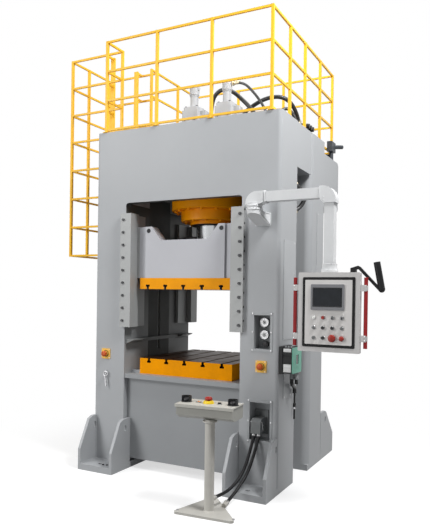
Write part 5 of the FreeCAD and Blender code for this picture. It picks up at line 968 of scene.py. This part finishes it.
# The side bars are round-edged red tubes in cast grey clamps; the swing handle on top is a bent
# black steel strap with a thick foam-rubber grip.
handle_red = enamel("red handle coat", (0.31, 0.02, 0.022), 0.36, 0.1, 12)
dress(handle_red, "panel_handles")
dress(black_ink, "swing_handle")
bar_x, bar_z = 0.2875, 1.6335
clamps = [(panel_x + dx, panel_top - drop) for dx in (-bar_x, bar_x) for drop in (0.123, 0.516)]
bar_ends = [(panel_x + dx, -0.887, bar_z - dz) for dx, dz in corners(bar_x, 0.272)]
add_piece("handle_caps", [slab(end, (0.0312, 0.0232, 0.01), 0.0085, 0.002, "z") for end in bar_ends],
    handle_red, "panel")
add_piece("handle_clamps", [slab((x, -0.8872, z), (0.0328, 0.0246, 0.04), 0.0085, 0.002, "z")
    for x, z in clamps], case_coat, "panel")
add_bolts("handle_clamp_screws", [socket_screw((x, -0.914, z + dz), forward, 0.005, 0.004)
    for x, z in clamps for dz in (-0.016, 0.016)], "panel")


# -------- two-hand stand
# Folded steel housing on a round post and a triangular foot plate, powder-coated beige; black
# palm buttons in ring guards, a red stop on a yellow collar, a lamp and a start button.
def stand_place(x, y, z):
    """A place given from the post's axis, turned with the stand about it."""
    post_x, post_y, turn = 0.676, -1.279, math.radians(5.5)
    c, s = math.cos(turn), math.sin(turn)
    return np.array((post_x + x * c - y * s, post_y + x * s + y * c, z))


stand_beige = enamel("stand beige coat", (0.535, 0.521, 0.482), 0.42, 0.05, 8, 0.0006, 480)
dress(stand_beige, "stand_base")
dress(enamel("stand box coat", (0.33, 0.327, 0.3), 0.42, 0.05, 8, 0.0006, 480), "stand_box")
lid_coat, guard_black = (0.48, 0.472, 0.43), (0.025, 0.025, 0.026)
dress(two_tone("stand lid coat and black guards", lid_coat, guard_black, "Z", 0.8745, 0.42), "stand_lid")
dress(button_black, "stand_button")
black, red = ("black_plastic", button_black), ("red_plastic", stop_red)
heads = (("palm_head_left", "palm_button_left", "palm_left", black),
    ("palm_head_right", "palm_button_right", "palm_right", black),
    ("stand_stop_head", "stand_stop", "stand_emergency_stop", red))
for name, node, body, look in heads:
    low, high = np.array(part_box(node))
    foot = (*(low + high)[:2] / 2, low[2])
    mushroom_button(name, node, body, *look, foot, up, 0.012, high[2] - low[2] - 0.026,
        (high[0] - low[0]) / 2, 0.026)
box_x, box_y, lid_z, foot_z = -0.03, 0.056, 0.872, 0.02
add_piece("stand_stop_collar", [turned(stand_place(box_x - 0.008, box_y, lid_z), up,
    mm(46.8, 0, 46.8, 3, 44, 9, 38.5, 21.5, 36, 22.8, 15, 22.8, 13, 21.5), 56)],
    moulded("yellow stop collar", (0.78, 0.55, 0.03), 0.32))
guard_feet = []
for dx in (-0.205, 0.205):
    at = stand_place(box_x + dx, box_y, lid_z)
    guard_feet.append(turned(at, up, mm(42.5, 0, 46, 1, 46, 4, 42.5, 6), 56))
    guard_feet.append(turned(at, up, mm(32, 0, 32, 3, 30, 4.5, 14, 4.5), 48))
add_piece("palm_guard_feet", guard_feet, button_black)
lamp_at = stand_place(box_x - 0.095, box_y, lid_z + 0.004)
add_piece("stand_lamp", [turned(lamp_at, up, mm(10.8, 0, 10.8, 3.6, 9.5, 6.5, 6, 8.5, 0, 9.2), 32)],
    lens("amber lamp lens", (0.62, 0.2, 0.02)))
add_piece("stand_small_rings", [turned(lamp_at, up, mm(14, 0, 14, 1.6, 12.5, 2.6, 10.9, 2.6), 32),
    turned(stand_place(box_x + 0.088, box_y, lid_z), up, mm(20.5, 0, 20.5, 1.8, 19, 3, 16.4, 3), 36)],
    brushed)
lid_screw = mm(6.2, 0, 6.2, 0.8, 4.8, 2.6, 2.2, 3, 2, 1.6, 0, 1.6)
stand_screws = [turned(stand_place(box_x + dx, box_y + dy, lid_z), up, lid_screw, 18)
    for dx, dy in corners(0.235, 0.115)]
for x, y in ((-0.235, -0.095), (0.25, -0.105), (-0.072, 0.3)):
    stand_screws += hexagon_screw(stand_place(x, y, foot_z), up, 0.0095, 0.008)
add_bolts("stand_screws", stand_screws)
add_piece("stand_post_weld_and_flange",
    [turned(stand_place(0, 0, foot_z), up, mm(47.5, 0, 45, 4, 40.8, 8.5), 56),
    turned(stand_place(0, 0, 0.748), up, mm(40.5, -18, 58, -12, 58, -3, 40.5, -2.5), 56)], stand_beige)
stand_glands = []
for points in (front_points, rear_points):
    before, end = np.array(points[-2:])
    stand_glands.append(turned(end, end - before, mm(21.8, 0, 23, 3, 23, 16, 21.5, 19), 6))
    stand_glands.append(turned(end, end - before, mm(14.3, -12, 17.5, -11, 19.5, -4, 19.5, 1), 30))
add_piece("stand_lead_glands", stand_glands, brushed)


# -------- studio
# A grey floor that the camera sees as white with the press's own shadow on it, in a white room,
# with soft lamps high on the left, high on the right, low in front and overhead.
def seen_ray(tree):
    """1 for camera, glossy and transmission rays, 0 for the rays that light the object."""
    ray = add_node(tree, "LightPath").node.outputs
    direct = add_node(tree, "Math", ray["Is Camera Ray"], ray["Is Glossy Ray"], operation="MAXIMUM")
    return add_node(tree, "Math", direct, ray["Is Transmission Ray"], operation="MAXIMUM")


white = (1, 1, 1, 1)
floor_half = 60
floor_mesh = bpy.data.meshes.new("floor")
floor_corners = [(u * floor_half, v * floor_half, 0) for u, v in ((-1, -1), (1, -1), (1, 1), (-1, 1))]
floor_mesh.from_pydata(floor_corners, [], [(0, 1, 2, 3)])
floor = bpy.data.objects.new("floor", floor_mesh)
scene.collection.objects.link(floor)
floor_finish, floor_shader, floor_place = new_finish("white floor")
tree = floor_finish.node_tree
fill(floor_shader, Base_Color=(0.25, 0.25, 0.252, 1), Roughness=0.7)
shadowed = add_node(tree, "AddShader", add_node(tree, "BsdfDiffuse", Color=(0.45, 0.45, 0.452, 1)),
    add_node(tree, "Emission", Color=white, Strength=0.64))
from_middle = add_node(tree, "VectorMath", floor_place, operation="LENGTH").node.outputs["Value"]
fade = add_node(tree, "MapRange", from_middle, 1.3, 3.2, interpolation_type="SMOOTHSTEP")
seen_white = add_node(tree, "Emission", Color=white, Strength=1)
seen_floor = add_node(tree, "MixShader", fade, shadowed, seen_white)
floor_look = add_node(tree, "MixShader", seen_ray(tree), floor_shader.outputs["BSDF"], seen_floor)
fill(tree.nodes["Material Output"], Surface=floor_look)
floor_mesh.materials.append(floor_finish)

world = bpy.data.worlds.new("white room")
scene.world = world
world.use_nodes = True
tree = world.node_tree
room_light = fill(tree.nodes["Background"], Color=(0.98, 0.99, 1, 1), Strength=0.22)
backdrop = add_node(tree, "Background", Color=white, Strength=1)
fill(tree.nodes["World Output"], Surface=add_node(tree, "MixShader", seen_ray(tree), room_light, backdrop))

lamps = (("key lamp", (-5, -7, 5.8), (0, 0, 2.7), 3.4, 350),
    ("side lamp", (3.6, -1.6, 6.2), (1, -0.1, 2.9), 1.6, 320),
    ("front lamp", (-3, -6.2, 1.2), (0, 0, 2.5), 2.2, 82),
    ("top lamp", (0, 0.5, 9.5), (0, 0, 0), 5, 330))
for name, place, aim, size, power in lamps:
    lamp_data = bpy.data.lights.new(name, "AREA")
    lamp_data.shape = "DISK"
    lamp_data.size = size
    lamp_data.energy = power
    lamp = bpy.data.objects.new(name, lamp_data)
    scene.collection.objects.link(lamp)
    lamp.location = place
    lamp.rotation_euler = (Vector(aim) - Vector(place)).to_track_quat("-Z", "Y").to_euler()
